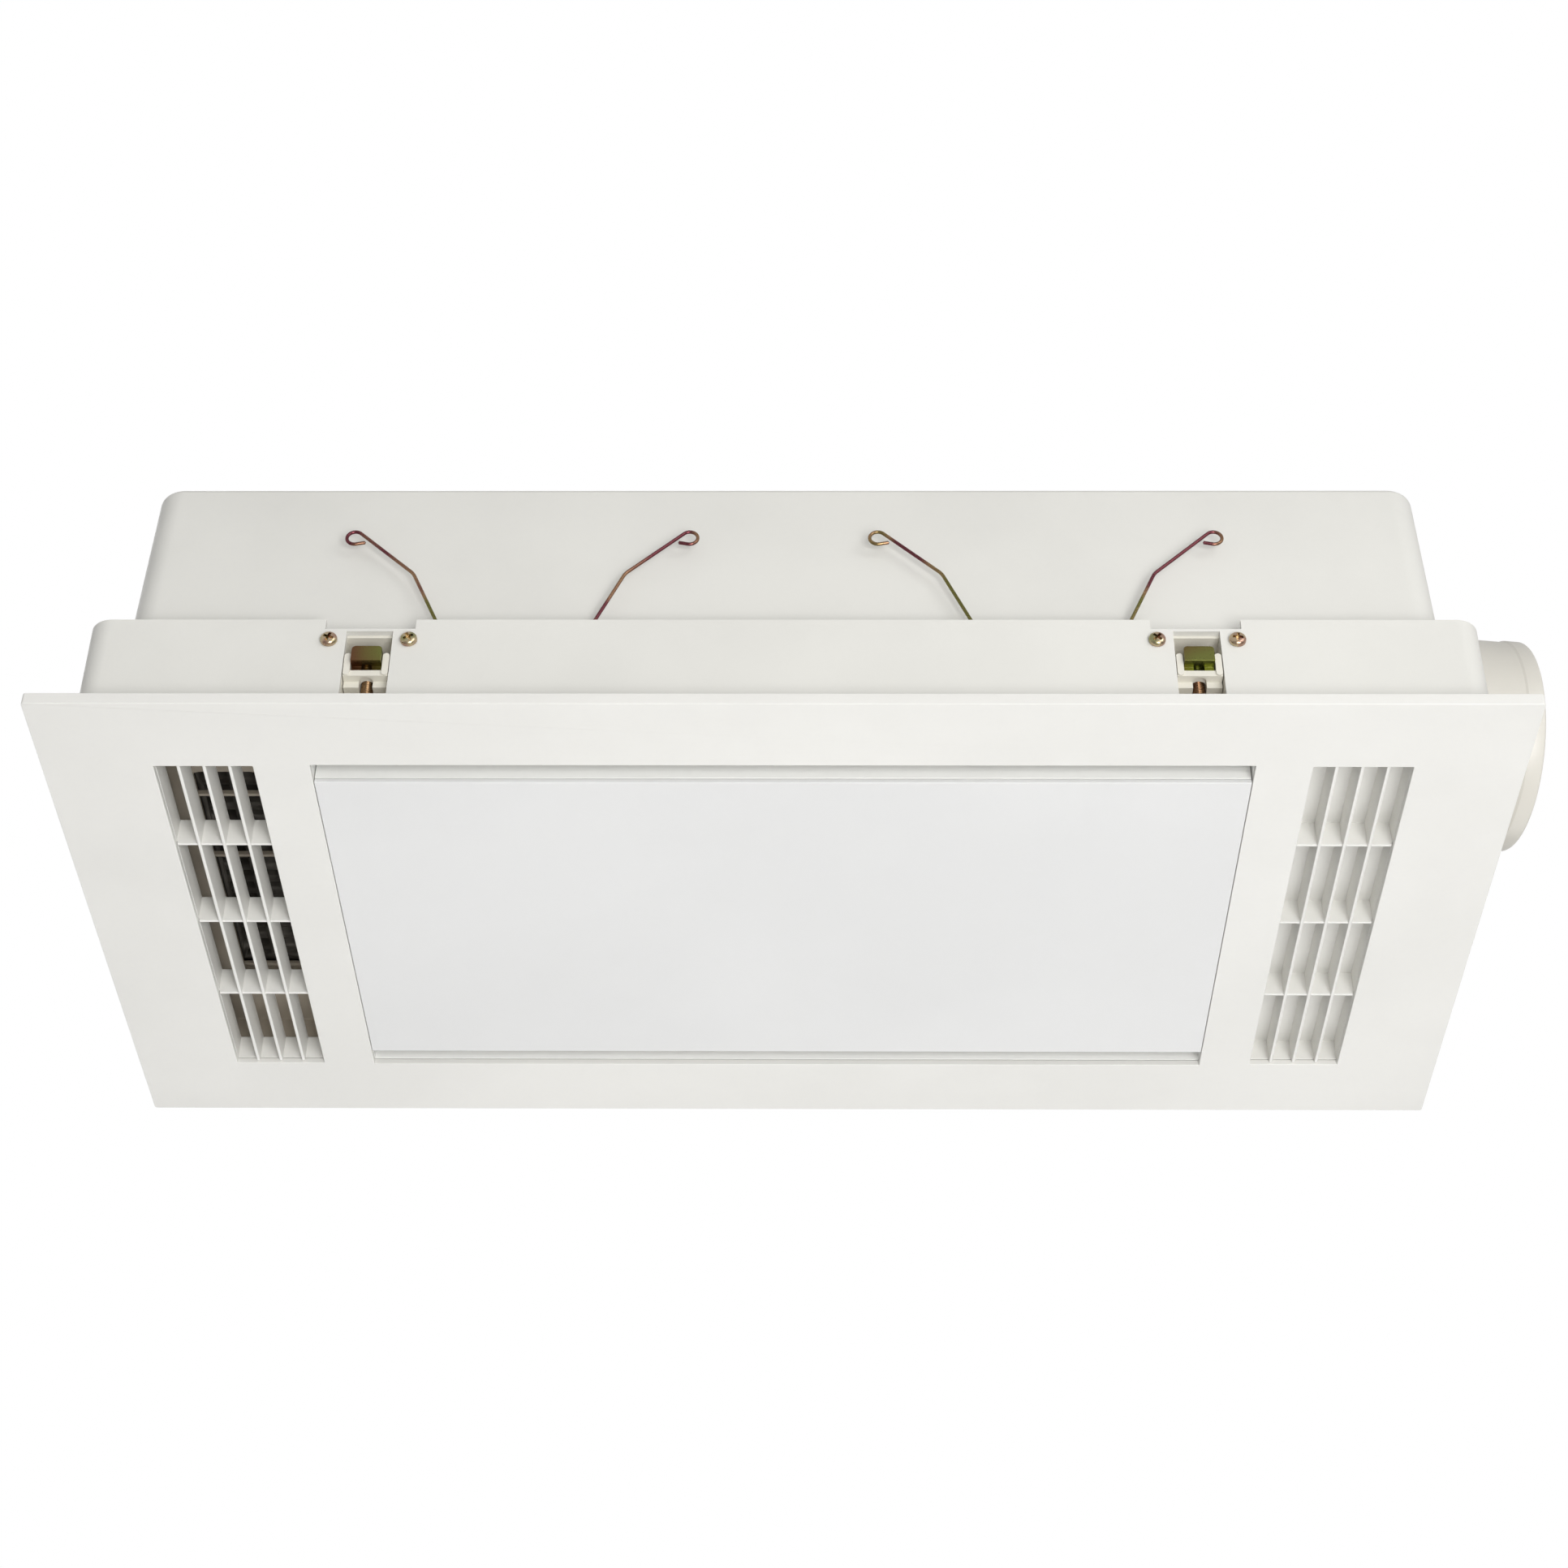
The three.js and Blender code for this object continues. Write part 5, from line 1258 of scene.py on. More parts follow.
class HEATER_OT_clamps(bpy.types.Operator):
    """Make the four screw clamps, each with its guide, carrier, claw and screws"""

    bl_idname = "heater.clamps"
    bl_label = "Clamps"

    def execute(self, context):
        clamp = context.scene.heater_clamp
        gap = context.scene.heater_panel.gap
        low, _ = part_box("clamp_guide_front_left")
        screw_low, screw_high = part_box("clamp_screw_front_left")
        carrier_low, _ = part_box("claw_carrier_front_left")
        frame_wall = context.scene.heater_casing.frame_wall
        kinds = (
            ("clamp_guide", self.guide(clamp, gap, low.z), "Nylon moulded clamp white", "housing", 0.3),
            (
                "claw_carrier",
                self.carrier(clamp, gap, frame_wall, carrier_low.z),
                "Nylon moulded clamp white",
                "claw_",
                0.3,
            ),
            (
                "clamp_claw",
                self.claw(clamp, gap, frame_wall),
                "Zinc alloy cast and passivated",
                "claw_",
                0.45,
            ),
            (
                "clamp_screw",
                self.screw(clamp, screw_low.z, screw_high.z),
                "Steel rod yellow zinc plated",
                "screw_",
                0.0,
            ),
        )
        pan_screw = self.pan_screw(clamp)
        turns = (0.35, 1.1, 0.72, 0.1, 0.95, 0.5, 0.22, 1.3)
        for corner, (name, side_x, side_y) in enumerate(CORNERS):
            place = clamp_place(context, name, side_x, side_y)
            for kind, mesh, material, body, edge in kinds:
                place_piece(
                    kind + "_" + name + "_piece",
                    mesh,
                    finish(material),
                    body if body == "housing" else body + name,
                    [kind + "_" + name],
                    edge * MM,
                    place,
                )
            for end, side in (("a", -1), ("b", 1)):
                at = (side * clamp.screw_spacing / 2, -frame_wall - gap, clamp.screw_height)
                turn = Matrix.Rotation(turns[2 * corner + (side > 0)], 4, "Y")
                node = "guide_screw_" + name + "_" + end
                place_piece(
                    node + "_piece",
                    pan_screw,
                    finish("Steel screw yellow zinc plated"),
                    "housing",
                    [node],
                    0.0,
                    place @ Matrix.Translation(at) @ turn,
                )
        return {"FINISHED"}

    def round_hole(self, clamp, low, high):
        """A cutter for the clamp screw's running hole."""
        radius = clamp.screw_radius + 0.3 * MM
        bm = bmesh.new()
        profile = [(0, low), (radius, low), (radius, high), (0, high)]
        add_lathe(bm, profile, 40, Matrix.Translation((0, clamp.screw_depth, 0)))
        return finish_mesh("clamp_screw_hole", bm)

    def guide(self, clamp, gap, bottom):
        """Channel with a foot, a top bridge and two screwed ears."""
        inner = clamp.window / 2
        outer = inner + clamp.rail
        top = clamp.window_top
        foot_top = bottom + clamp.foot
        depth = (gap, clamp.depth)
        bm = bmesh.new()
        add_boxes(
            bm,
            [
                ((-outer, outer), (clamp.depth - clamp.back, clamp.depth), (bottom, top)),
                ((-outer, -inner), depth, (bottom, top)),
                ((inner, outer), depth, (bottom, top)),
                ((-outer, outer), depth, (bottom, foot_top)),
                ((-outer, outer), depth, (top - clamp.bridge, top)),
            ],
        )
        for side in (-1, 1):
            reach = ordered(side * inner, side * (outer + clamp.ear_length))
            height = (top - clamp.ear_height, top)
            corner = 2.2 * MM
            middle = (sum(reach) / 2, sum(height) / 2)
            half = ((reach[1] - reach[0]) / 2, (height[1] - height[0]) / 2)
            outline = [
                (x + middle[0], z + middle[1]) for x, z in rounded_rectangle(*half, corner, 5)
            ]
            ear = bmesh.new()
            add_prism(ear, outline, -gap - clamp.ear_thickness, -gap)
            bmesh.ops.rotate(ear, verts=ear.verts, matrix=Matrix.Rotation(math.pi / 2, 3, "X"))
            ear_mesh = finish_mesh("guide_ear", ear)
            bm.from_mesh(ear_mesh)
            bpy.data.meshes.remove(ear_mesh)
        holes = bmesh.new()
        radius = clamp.shank_radius + gap
        for side in (-1, 1):
            place = Matrix.Translation((side * clamp.screw_spacing / 2, 0, clamp.screw_height))
            turn = Matrix.Rotation(-math.pi / 2, 4, "X")
            reach = 2 * clamp.ear_thickness
            profile = [(0, -reach), (radius, -reach), (radius, reach), (0, reach)]
            add_lathe(holes, profile, 24, place @ turn)
        return cut_away(
            finish_mesh("clamp_guide", bm),
            [self.round_hole(clamp, bottom - gap, foot_top + gap), finish_mesh("ear_holes", holes)],
        )

    def carrier(self, clamp, gap, frame_wall, bottom):
        """Slider with two arms that hold the claw's sides."""
        outer = clamp.window / 2 - 0.4 * MM
        inner = clamp.claw_width / 2 + gap
        front = gap - frame_wall
        back = clamp.depth - clamp.back - gap
        slot = clamp.screw_radius + gap
        slot_end = front + clamp.slot_back + slot
        bm = bmesh.new()
        wide = span(2 * outer)
        add_boxes(
            bm,
            [
                (wide, (front + clamp.bar_back, back), (clamp.bar_bottom, clamp.bar_top)),
                (wide, (front + clamp.skirt_back, back), (clamp.foot_top, clamp.bar_bottom)),
                (wide, (front + clamp.foot_back, back), (bottom, clamp.foot_top)),
            ],
            [((-slot, slot), (slot_end, clamp.screw_depth), (bottom - gap, clamp.slot_top))],
        )
        half = ((outer - inner) / 2, (clamp.arm_top - clamp.bar_bottom) / 2)
        for side in (-1, 1):
            middle = (side * (inner + outer) / 2, clamp.bar_bottom + half[1])
            outline = [
                (x + middle[0], z + middle[1]) for x, z in rounded_rectangle(*half, 0.98 * half[0], 8)
            ]
            arm = bmesh.new()
            add_prism(arm, outline, -back, -front)
            bmesh.ops.rotate(arm, verts=arm.verts, matrix=Matrix.Rotation(math.pi / 2, 3, "X"))
            arm_mesh = finish_mesh("carrier_arm", arm)
            bm.from_mesh(arm_mesh)
            bpy.data.meshes.remove(arm_mesh)
        cutter = bmesh.new()
        profile = [(0, 0), (slot, 0), (slot, clamp.slot_top), (0, clamp.slot_top)]
        add_lathe(cutter, profile, 40, Matrix.Translation((0, slot_end, 0)))
        return cut_away(
            finish_mesh("claw_carrier", bm),
            [self.round_hole(clamp, 0.0, 2 * clamp.arm_top), finish_mesh("slot_end", cutter)],
        )

    def claw(self, clamp, gap, frame_wall):
        """Upper block that hooks over the runner, on a threaded lower block."""
        front = -frame_wall - clamp.claw_proud
        seat = clamp.bar_top + gap
        half, corner = clamp.claw_width / 2, clamp.claw_corner
        outline = [(half, clamp.claw_under), (-half, clamp.claw_under)]
        for centre, start in ((corner - half, math.pi), (half - corner, math.pi / 2)):
            for step in range(9):
                angle = start - step / 8 * math.pi / 2
                outline.append(
                    (centre + corner * math.cos(angle), clamp.claw_top - corner + corner * math.sin(angle))
                )
        upper = bmesh.new()
        add_prism(upper, outline, -front - clamp.claw_depth, -front)
        bmesh.ops.rotate(upper, verts=upper.verts, matrix=Matrix.Rotation(math.pi / 2, 3, "X"))
        add_boxes(
            upper,
            [
                (
                    (-half, half),
                    (front + clamp.claw_overhang, front + clamp.claw_depth),
                    (seat, clamp.claw_under + 0.05 * MM),
                )
            ],
        )
        bite = bmesh.new()
        bite_top = clamp.claw_under + clamp.claw_bite
        profile = [(0, 0), (clamp.claw_bite, 0), (clamp.claw_bite, bite_top), (0, bite_top)]
        place = Matrix.Translation((0, front + clamp.claw_overhang + 0.4 * clamp.claw_bite, 0))
        add_lathe(bite, profile, 40, place)
        return cut_away(
            finish_mesh("clamp_claw", upper),
            [self.round_hole(clamp, 0.0, 2 * clamp.claw_top), finish_mesh("claw_bite", bite)],
        )

    def screw(self, clamp, bottom, tip):
        """Clamp screw with a rolled thread and a pan head below."""
        head_top = bottom + clamp.head_height
        crest, root = clamp.screw_radius, clamp.screw_radius - clamp.thread_depth
        sides, rows_per_turn = 32, 8
        bm = bmesh.new()
        rows = int((tip - head_top) / clamp.thread_pitch * rows_per_turn)
        rings = []
        for row in range(rows + 1):
            z = head_top + row / rows * (tip - head_top)
            taper = min(1.0, (tip - z) / (1.5 * MM) * 0.4 + 0.6)
            ring = []
            for k in range(sides):
                turn = k / sides
                phase = (z / clamp.thread_pitch - turn) % 1.0
                flank = abs(2 * phase - 1)
                radius = (root + (crest - root) * min(1.0, max(0.0, 1.35 * flank - 0.15))) * taper
                angle = 2 * math.pi * turn
                ring.append(bm.verts.new((radius * math.cos(angle), radius * math.sin(angle), z)))
            rings.append(ring)
        for low, high in zip(rings, rings[1:]):
            for k in range(sides):
                n = (k + 1) % sides
                bm.faces.new((low[k], low[n], high[n], high[k]))
        bm.faces.new(rings[-1])
        bm.faces.new(rings[0][::-1])
        thread = finish_mesh("clamp_screw_thread", bm, 60, merge_flat=False)
        head = self.headed(clamp, clamp.head_radius, clamp.head_height, bottom, False)
        bm = bmesh.new()
        bm.from_mesh(thread)
        bm.from_mesh(head)
        mesh = bpy.data.meshes.new("clamp_screw")
        bmesh.ops.translate(bm, verts=bm.verts, vec=(0, clamp.screw_depth, 0))
        bm.to_mesh(mesh)
        bm.free()
        return mesh

    def headed(self, clamp, radius, height, bottom, with_shank):
        """Domed pan head with its face down and a cross recess, and a shank for a guide screw."""
        profile = [(0.0, 0.0), (0.42 * radius, 0.02 * height)]
        steps = 10
        for step in range(steps + 1):
            angle = step / steps * math.pi / 2
            profile.append(
                (0.42 * radius + 0.58 * radius * math.sin(angle), height * (0.72 - 0.70 * math.cos(angle)))
            )
        profile.append((radius, height))
        if with_shank:
            shank = clamp.shank_radius
            end = height + clamp.shank_length
            profile += [(shank, height), (shank, end - shank), (0.0, end)]
        else:
            profile.append((0.0, height))
        bm = bmesh.new()
        add_lathe(bm, profile, 48, Matrix.Translation((0, 0, bottom)))
        body = finish_mesh("screw_head", bm, 40)
        cutters = []
        for length_x, length_y in (
            (clamp.cross_length, clamp.cross_width),
            (clamp.cross_width, clamp.cross_length),
        ):
            bm = bmesh.new()
            box = (span(length_x), span(length_y), (bottom - height, bottom + clamp.cross_depth))
            add_boxes(bm, [box])
            deepest = [v for v in bm.verts if v.co.z > bottom]
            for vert in deepest:
                vert.co.x *= 0.75
                vert.co.y *= 0.75
            cutters.append(finish_mesh("cross_cutter", bm))
        return cut_away(body, cutters)

    def pan_screw(self, clamp):
        """Guide screw that lies along Y with the underside of its head at the origin."""
        mesh = self.headed(clamp, clamp.pan_radius, clamp.pan_height, -clamp.pan_height, True)
        mesh.transform(Matrix.Rotation(-math.pi / 2, 4, "X"))
        return mesh


class HEATER_OT_panel_springs(bpy.types.Operator):
    """Make the four panel springs of bent wire"""

    bl_idname = "heater.panel_springs"
    bl_label = "Panel Springs"

    def execute(self, context):
        spring = context.scene.heater_spring
        bm = bmesh.new()
        add_tube(bm, self.path(spring), spring.wire / 2, 20)
        mesh = finish_mesh("panel_spring", bm, 50, merge_flat=False)
        for name, side_x, side_y in CORNERS:
            centre = (side_x * spring.spacing / 2, side_y * spring.plane, 0.0)
            wire = place_piece(
                "panel_spring_" + name + "_wire",
                mesh,
                finish("Steel wire yellow zinc plated"),
                "faceplate",
                ["panel_spring_" + name],
                0.0,
                Matrix.Translation(centre),
            )
            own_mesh(wire)
        return {"FINISHED"}

    def path(self, spring):
        """The wire's centre line: a loop, an arm with a kink, the base, and the same again."""
        foot = Vector((spring.base_half, spring.base_height))
        kink = Vector((spring.kink_half, spring.kink_height))
        loop = Vector((spring.loop_half, spring.loop_height))
        reach = loop - kink
        lean = math.asin(spring.loop_radius / reach.length)
        arrival = math.atan2(reach.y, reach.x) + lean + math.pi / 2
        free_end = arrival - spring.loop_turn
        tail = spring.tail * Vector((math.sin(free_end), -math.cos(free_end)))
        start = loop + spring.loop_radius * Vector((math.cos(free_end), math.sin(free_end)))
        right = [start + tail * (1 - step / 4) for step in range(4)]
        steps = 48
        for step in range(steps, -1, -1):
            angle = arrival - step / steps * spring.loop_turn
            right.append(loop + spring.loop_radius * Vector((math.cos(angle), math.sin(angle))))
        middle = Vector((0.0, spring.base_height))
        for before, corner, after in ((right[-1], kink, foot), (kink, foot, middle)):
            start = corner + (before - corner).normalized() * spring.bend
            end = corner + (after - corner).normalized() * spring.bend
            for step in range(9):
                t = step / 8
                right.append(start * (1 - t) ** 2 + corner * 2 * t * (1 - t) + end * t**2)
        left = [Vector((-p.x, p.y)) for p in reversed(right)]
        return [Vector((p.x, 0.0, p.y)) for p in (*right, *left)]


# The duct spigot and its flap


class HEATER_OT_duct_spigot(bpy.types.Operator):
    """Make the duct spigot with its flange, its flap and the flap's pin"""

    bl_idname = "heater.duct_spigot"
    bl_label = "Duct Spigot"

    def execute(self, context):
        sizes = context.scene.heater_spigot
        gap = context.scene.heater_panel.gap
        housing_low, housing_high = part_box("upper_housing")
        bore = sizes.radius - sizes.step - sizes.wall
        barrel = sizes.radius - sizes.step
        pin_low, pin_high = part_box("flap_pin")
        pin = ((pin_low.x + pin_high.x) / 2, (pin_low.y + pin_high.y) / 2)
        stop = (pin[0] - sizes.end_x) / math.cos(sizes.yaw) - sizes.flap / 2 - gap
        edge = sizes.lip_edge
        profile = [(bore, -sizes.barrel), (barrel, -sizes.barrel), (barrel, -sizes.lip - 2 * sizes.step)]
        for step in range(5):
            t = step / 4
            rise = sizes.step * (3 * t * t - 2 * t**3)
            profile.append((barrel + rise, -sizes.lip - 2 * sizes.step * (1 - t)))
        for step in range(9):
            angle = step / 8 * math.pi / 2
            profile.append(
                (sizes.radius - edge + edge * math.cos(angle), -edge + edge * math.sin(angle))
            )
        for step in range(7):
            angle = step / 6 * math.pi / 2
            profile.append((bore + 0.6 * edge * (1 - math.sin(angle)), -0.6 * edge * (1 - math.cos(angle))))
        profile += [
            (bore, stop),
            (bore - sizes.stop_height, stop),
            (bore - sizes.stop_height, stop - sizes.stop_height),
            (bore, stop - sizes.stop_height),
        ]
        bm = bmesh.new()
        add_lathe(bm, profile, 128, spigot_place(sizes), closed=True)
        barrel_mesh = finish_mesh("spigot_barrel", bm, 28)
        pin_cutter = bmesh.new()
        reach = 2 * sizes.radius
        place = Matrix.Translation((*pin, sizes.end_z))
        radius = (pin_high.x - pin_low.x) / 2 + gap
        add_lathe(
            pin_cutter, [(0, -reach), (radius, -reach), (radius, reach), (0, reach)], 20, place
        )
        barrel_mesh = cut_away(barrel_mesh, [finish_mesh("pin_cutter", pin_cutter)])
        flange_mesh = self.flange(context, sizes, gap, housing_low, housing_high)
        bm = bmesh.new()
        bm.from_mesh(barrel_mesh)
        bm.from_mesh(flange_mesh)
        place_piece(
            "duct_spigot_moulding",
            finish_mesh("duct_spigot_moulding", bm, 28),
            finish("ABS moulded spigot cream"),
            "housing",
            ["duct_spigot"],
        )
        self.flaps(sizes, pin)
        dress_node("flap_pin", finish("Steel deep drawn"))
        return {"FINISHED"}

    def flange(self, context, sizes, gap, housing_low, housing_high):
        """Plate round the barrel that lies against the drafted wall."""
        casing = context.scene.heater_casing
        slope = casing.housing_lean / (housing_high.z - housing_low.z)
        wall_x = housing_high.x - slope * (sizes.end_z - housing_low.z)
        centre_y = sizes.end_y - (sizes.end_x - wall_x) * math.tan(sizes.yaw)
        half = sizes.radius - sizes.step + sizes.flange
        outline = rounded_rectangle(half, half, sizes.flange, 8)
        front = wall_x + gap + sizes.flange_thickness
        bm = bmesh.new()
        rings = []
        edge = 0.6 * MM
        for inset, x in ((0.0, None), (0.0, front - edge), (0.3 * edge, front - 0.3 * edge), (edge, front)):
            share = 1 - inset / half
            ring = []
            for y, z in outline:
                height = sizes.end_z + z * share
                depth = x if x is not None else wall_x + gap - slope * (height - sizes.end_z)
                ring.append(bm.verts.new((depth, centre_y + y * share, height)))
            rings.append(ring)
        for low, high in zip(rings, rings[1:]):
            for i in range(len(low)):
                j = (i + 1) % len(low)
                bm.faces.new((low[i], low[j], high[j], high[i]))
        bm.faces.new(rings[-1])
        bm.faces.new(rings[0][::-1])
        plate = finish_mesh("spigot_flange", bm, 28)
        return cut_away(plate, [spigot_cutter(sizes, sizes.radius - sizes.step - 0.5 * sizes.wall)])

    def flaps(self, sizes, pin):
        """Two half discs that swing out from one upright pin."""
        radius = sizes.radius - sizes.step - sizes.wall - sizes.flap_gap
        knuckle = sizes.knuckle
        edge = knuckle + 0.3 * MM
        start = math.asin(edge / radius)
        outline = [
            (-radius * math.sin(a), radius * math.cos(a))
            for a in (start + step / 48 * (math.pi - 2 * start) for step in range(49))
        ]
        bm = bmesh.new()
        add_prism(bm, outline, -sizes.flap / 2, sizes.flap / 2)
        turn = Matrix(((0, 0, 1, 0), (1, 0, 0, 0), (0, 1, 0, 0), (0, 0, 0, 1)))
        bmesh.ops.transform(bm, matrix=turn, verts=bm.verts)
        disc = finish_mesh("flap_disc", bm)
        bm = bmesh.new()
        bm.from_mesh(disc)
        for share in (-1.5, 0.5):
            height = span(sizes.knuckle_length, share * sizes.knuckle_pitch)
            profile = [
                (1.5 * MM, height[0]),
                (knuckle, height[0]),
                (knuckle, height[1]),
                (1.5 * MM, height[1]),
            ]
            add_lathe(bm, profile, 32, closed=True)
            add_boxes(bm, [(span(sizes.flap), (-edge - 0.4 * MM, -knuckle + 0.6 * MM), height)])
        mesh = finish_mesh("backdraft_flap", bm)
        base = Matrix.Translation((*pin, sizes.end_z)) @ Matrix.Rotation(sizes.yaw, 4, "Z")
        for end, angle in (("front", 0.0), ("rear", math.pi)):
            place_piece(
                "backdraft_flap_" + end + "_moulding",
                mesh,
                finish("ABS moulded spigot cream"),
                "flap_" + end,
                ["backdraft_flap_" + end],
                0.2 * MM,
                base @ Matrix.Rotation(angle, 4, "X"),
            )


# What stands inside the casing


class HEATER_OT_blowers(bpy.types.Operator):
    """Dress the two blowers: scroll, cover, wheel and motor"""

    bl_idname = "heater.blowers"
    bl_label = "Blowers"

    def execute(self, context):
        for blower in ("exhaust_blower", "warm_blower"):
            dress_node(blower + "_scroll", finish("Steel hot dip galvanised"), 0.5 * MM)
            dress_node(blower + "_cover", finish("ABS moulded casing white"), 0.4 * MM)
            dress_node(blower + "_wheel", finish("Polypropylene moulded grey"))
            dress_node(blower + "_motor", finish("Steel deep drawn"), 0.8 * MM)
        return {"FINISHED"}


class HEATER_OT_heater(bpy.types.Operator):
    """Dress the heater behind the left grille: nozzle, frame, core and air duct"""

    bl_idname = "heater.heater"
    bl_label = "Heater"

    def execute(self, context):
        dress_node("outlet_nozzle", finish("Phenolic moulded nozzle"), 0.5 * MM)
        low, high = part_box("outlet_nozzle")
        casing = context.scene.heater_casing
        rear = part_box("mounting_frame")[1].y - casing.frame_wall - casing.shelf_reach
        bm = bmesh.new()
        flange = ((low.x, high.x), (high.y, rear), (low.z, high.z))
        lip = ((low.x, high.x), (rear - casing.nozzle_lip, rear), (casing.nozzle_lip_bottom, high.z))
        add_boxes(bm, [flange, lip])
        place_piece(
            "nozzle_rear_flange",
            finish_mesh("nozzle_rear_flange", bm),
            finish("Phenolic moulded nozzle"),
            "housing",
            round_width=0.5 * MM,
        )
        dress_node("heater_frame", finish("Phenolic moulded nozzle"), 0.4 * MM)
        dress_node("heater_core", finish("Ceramic heater with bonded fins"))
        dress_node("air_duct", finish("Steel hot dip galvanised"), 0.4 * MM)
        dress_node("thermal_cutout", finish("Steel deep drawn"), 0.3 * MM)
        return {"FINISHED"}


class HEATER_OT_controls(bpy.types.Operator):
    """Dress the control box, its board and the terminals, and make the cable gland"""

    bl_idname = "heater.controls"
    bl_label = "Controls"

    def execute(self, context):
        dress_node("control_box", finish("ABS moulded box white"), 0.5 * MM)
        dress_node("control_box_lid", finish("ABS moulded box white"), 0.4 * MM)
        dress_node("control_board", finish("Epoxy board green mask"))
        dress_node("terminal_block", finish("Nylon moulded terminal grey"), 0.3 * MM)
        low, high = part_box("cable_gland")
        head_radius = (high.x - low.x) / 2
        head_end = high.y - 7 * MM
        place = Matrix.Translation(((low.x + high.x) / 2, 0, (low.z + high.z) / 2))
        along = place @ Matrix.Rotation(-math.pi / 2, 4, "X")
        bm = bmesh.new()
        profile = [(5 * MM, low.y), (10 * MM, low.y)]
        turns = 9
        for turn in range(turns):
            at = low.y + (turn + 0.5) * (head_end - 5 * MM - low.y) / turns
            profile += [(10 * MM, at - 0.4 * MM), (9.4 * MM, at), (10 * MM, at + 0.4 * MM)]
        profile += [
            (10 * MM, high.y - 2.5 * MM),
            (9.3 * MM, high.y - 0.8 * MM),
            (8.2 * MM, high.y),
            (5 * MM, high.y),
        ]
        add_lathe(bm, profile, 64, along, closed=True)
        body = finish_mesh("gland_body", bm, 30)
        bm = bmesh.new()
        outline = [
            (head_radius * math.cos(a), head_radius * math.sin(a))
            for a in (math.radians(60 * i) for i in range(6))
        ]
        add_prism(bm, outline, head_end - 5 * MM, head_end)
        bmesh.ops.transform(bm, matrix=along, verts=bm.verts)
        bm.from_mesh(body)
        place_piece(
            "cable_gland_moulding",
            finish_mesh("cable_gland_moulding", bm),
            finish("Nylon moulded gland black"),
            "housing",
            ["cable_gland"],
            0.4 * MM,
        )
        return {"FINISHED"}


# The studio


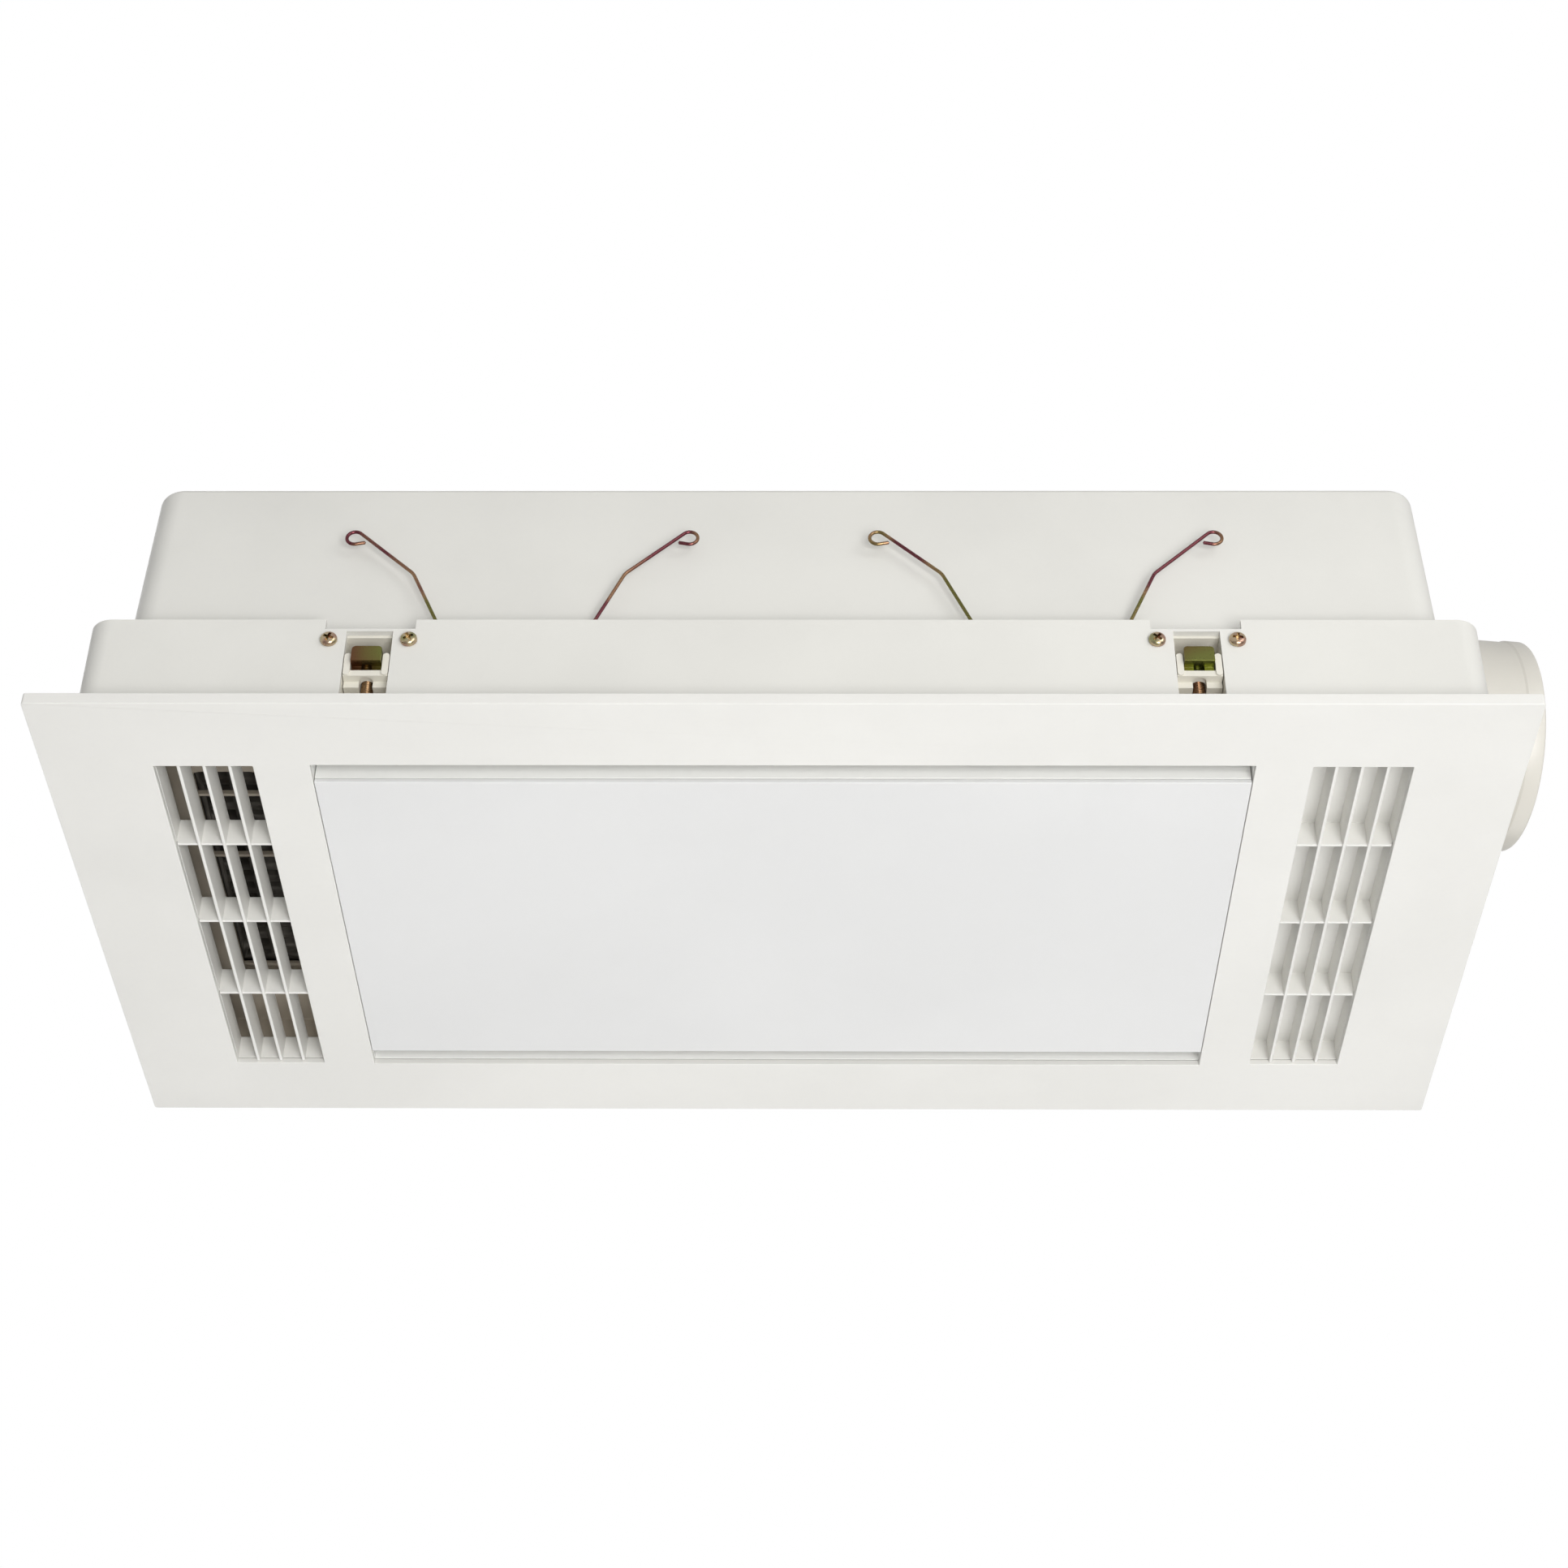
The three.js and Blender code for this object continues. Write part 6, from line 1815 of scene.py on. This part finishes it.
class HEATER_OT_studio(bpy.types.Operator):
    """Set the floor, the lights and the camera of the photograph"""

    bl_idname = "heater.studio"
    bl_label = "Studio"

    def execute(self, context):
        studio = context.scene.heater_studio
        self.floor(context, studio)
        self.world(context, studio)
        middle = Vector((0, 0, 0.05))
        self.lamp("side_light", (1.35, -1.8, 0.25), middle, 1.2, studio.side_watts)
        self.lamp("front_light", (0.56, -1.78, -1.24), middle, 1.0, studio.front_watts)
        self.lamp("back_light", (-0.9, 1.7, 1.8), middle, 2.2, studio.back_watts)
        self.lamp("low_light", (0.2, 0.95, -1.45), middle, 1.5, studio.low_watts)
        camera = bpy.data.cameras.new("photo_camera")
        camera.sensor_width = 36.0
        camera.lens = studio.focal_pixels / PHOTO_PIXELS * camera.sensor_width
        camera.clip_end = 50.0
        obj = bpy.data.objects.new("photo_camera", camera)
        context.scene.collection.objects.link(obj)
        turn = (
            Matrix.Rotation(studio.heading, 4, "Z")
            @ Matrix.Rotation(math.pi / 2 + studio.pitch, 4, "X")
            @ Matrix.Rotation(studio.roll, 4, "Z")
        )
        obj.matrix_world = (
            Matrix.Translation((studio.camera_x, studio.camera_y, studio.camera_z)) @ turn
        )
        context.scene.camera = obj
        context.scene.view_settings.view_transform = "Standard"
        return {"FINISHED"}

    def floor(self, context, studio):
        """A plain pale floor far below the unit."""
        bm = bmesh.new()
        half = 6.0
        corners = ((-half, -half), (half, -half), (half, half), (-half, half))
        bm.faces.new([bm.verts.new((x, y, -studio.floor_drop)) for x, y in corners])
        mesh = bpy.data.meshes.new("studio_floor")
        bm.to_mesh(mesh)
        bm.free()
        material, tree, shader, place = new_finish("Studio paper pale")
        base = tuple(context.scene.heater_colours.floor)
        tone = mottled(tree, place, 1.4, darker(base, 0.985), base)
        tree.links.new(tone, shader.inputs["Base Color"])
        shader.inputs["Roughness"].default_value = 0.9
        path = add_node(tree, "ShaderNodeLightPath")
        seen = {0: path.outputs["Is Camera Ray"], 1: studio.floor_glow}
        glow = add_node(tree, "ShaderNodeMath", {"operation": "MULTIPLY"}, seen)
        tree.links.new(tone, shader.inputs["Emission Color"])
        tree.links.new(glow.outputs["Value"], shader.inputs["Emission Strength"])
        mesh.materials.append(material)
        obj = bpy.data.objects.new("studio_floor", mesh)
        context.scene.collection.objects.link(obj)

    def world(self, context, studio):
        """White behind the unit, and a softer even light from all round."""
        world = bpy.data.worlds.new("studio_world")
        world.use_nodes = True
        tree = world.node_tree
        tree.nodes.clear()
        path = add_node(tree, "ShaderNodeLightPath")
        levels = {0: path.outputs["Is Glossy Ray"], 1: studio.sky_level, 2: studio.sky_level}
        level = add_node(tree, "ShaderNodeMath", {"operation": "MULTIPLY_ADD"}, levels)
        backdrop = add_node(
            tree, "ShaderNodeBackground", None, {"Color": (1, 1, 1, 1), "Strength": 1.0}
        )
        light = add_node(
            tree,
            "ShaderNodeBackground",
            None,
            {"Color": (1, 1, 1, 1), "Strength": level.outputs["Value"]},
        )
        mixed = add_node(
            tree,
            "ShaderNodeMixShader",
            None,
            {0: path.outputs["Is Camera Ray"], 1: light.outputs["Background"], 2: backdrop.outputs["Background"]},
        )
        add_node(tree, "ShaderNodeOutputWorld", None, {"Surface": mixed.outputs["Shader"]})
        context.scene.world = world

    def lamp(self, name, place, target, size, watts):
        """A soft square lamp that points at the unit and isn't seen itself."""
        lamp = bpy.data.lights.new(name, "AREA")
        lamp.shape = "SQUARE"
        lamp.size = size
        lamp.energy = watts
        obj = bpy.data.objects.new(name, lamp)
        obj.visible_camera = False
        bpy.context.scene.collection.objects.link(obj)
        aim = (target - Vector(place)).to_track_quat("-Z", "Y")
        obj.matrix_world = Matrix.Translation(place) @ aim.to_matrix().to_4x4()


OPERATORS = (
    HEATER_OT_face_panel,
    HEATER_OT_air_grilles,
    HEATER_OT_light,
    HEATER_OT_mounting_frame,
    HEATER_OT_upper_housing,
    HEATER_OT_clamps,
    HEATER_OT_panel_springs,
    HEATER_OT_duct_spigot,
    HEATER_OT_blowers,
    HEATER_OT_heater,
    HEATER_OT_controls,
    HEATER_OT_studio,
)


class HEATER_PT_sidebar(bpy.types.Panel):
    """Sizes, colours and steps of the ceiling heater"""

    bl_label = "Ceiling Heater"
    bl_idname = "HEATER_PT_sidebar"
    bl_space_type = "VIEW_3D"
    bl_region_type = "UI"
    bl_category = "Heater"

    def draw(self, context):
        for operator in OPERATORS:
            self.layout.operator(operator.bl_idname)
        for pointer, group in SETTINGS:
            box = self.layout.box()
            settings = getattr(context.scene, pointer)
            for name in group.__annotations__:
                box.prop(settings, name)


SETTINGS = (
    ("heater_panel", FacePanelSizes),
    ("heater_casing", CasingSizes),
    ("heater_clamp", ClampSizes),
    ("heater_spring", SpringSizes),
    ("heater_spigot", SpigotSizes),
    ("heater_colours", FinishColours),
    ("heater_studio", StudioSettings),
)


def register():
    """Registers the settings, the operators and the panel."""
    for pointer, group in SETTINGS:
        bpy.utils.register_class(group)
        setattr(bpy.types.Scene, pointer, PointerProperty(type=group))
    for item in (*OPERATORS, HEATER_PT_sidebar):
        bpy.utils.register_class(item)


def unregister():
    """Takes the panel, the operators and the settings away again."""
    for item in reversed((*OPERATORS, HEATER_PT_sidebar)):
        bpy.utils.unregister_class(item)
    for pointer, group in reversed(SETTINGS):
        delattr(bpy.types.Scene, pointer)
        bpy.utils.unregister_class(group)


def main():
    """Builds everything over the frame."""
    register()
    bpy.ops.heater.face_panel()
    bpy.ops.heater.air_grilles()
    bpy.ops.heater.light()
    bpy.ops.heater.mounting_frame()
    bpy.ops.heater.upper_housing()
    bpy.ops.heater.clamps()
    bpy.ops.heater.panel_springs()
    bpy.ops.heater.duct_spigot()
    bpy.ops.heater.blowers()
    bpy.ops.heater.heater()
    bpy.ops.heater.controls()
    bpy.ops.heater.studio()


if __name__ == "__main__":
    main()
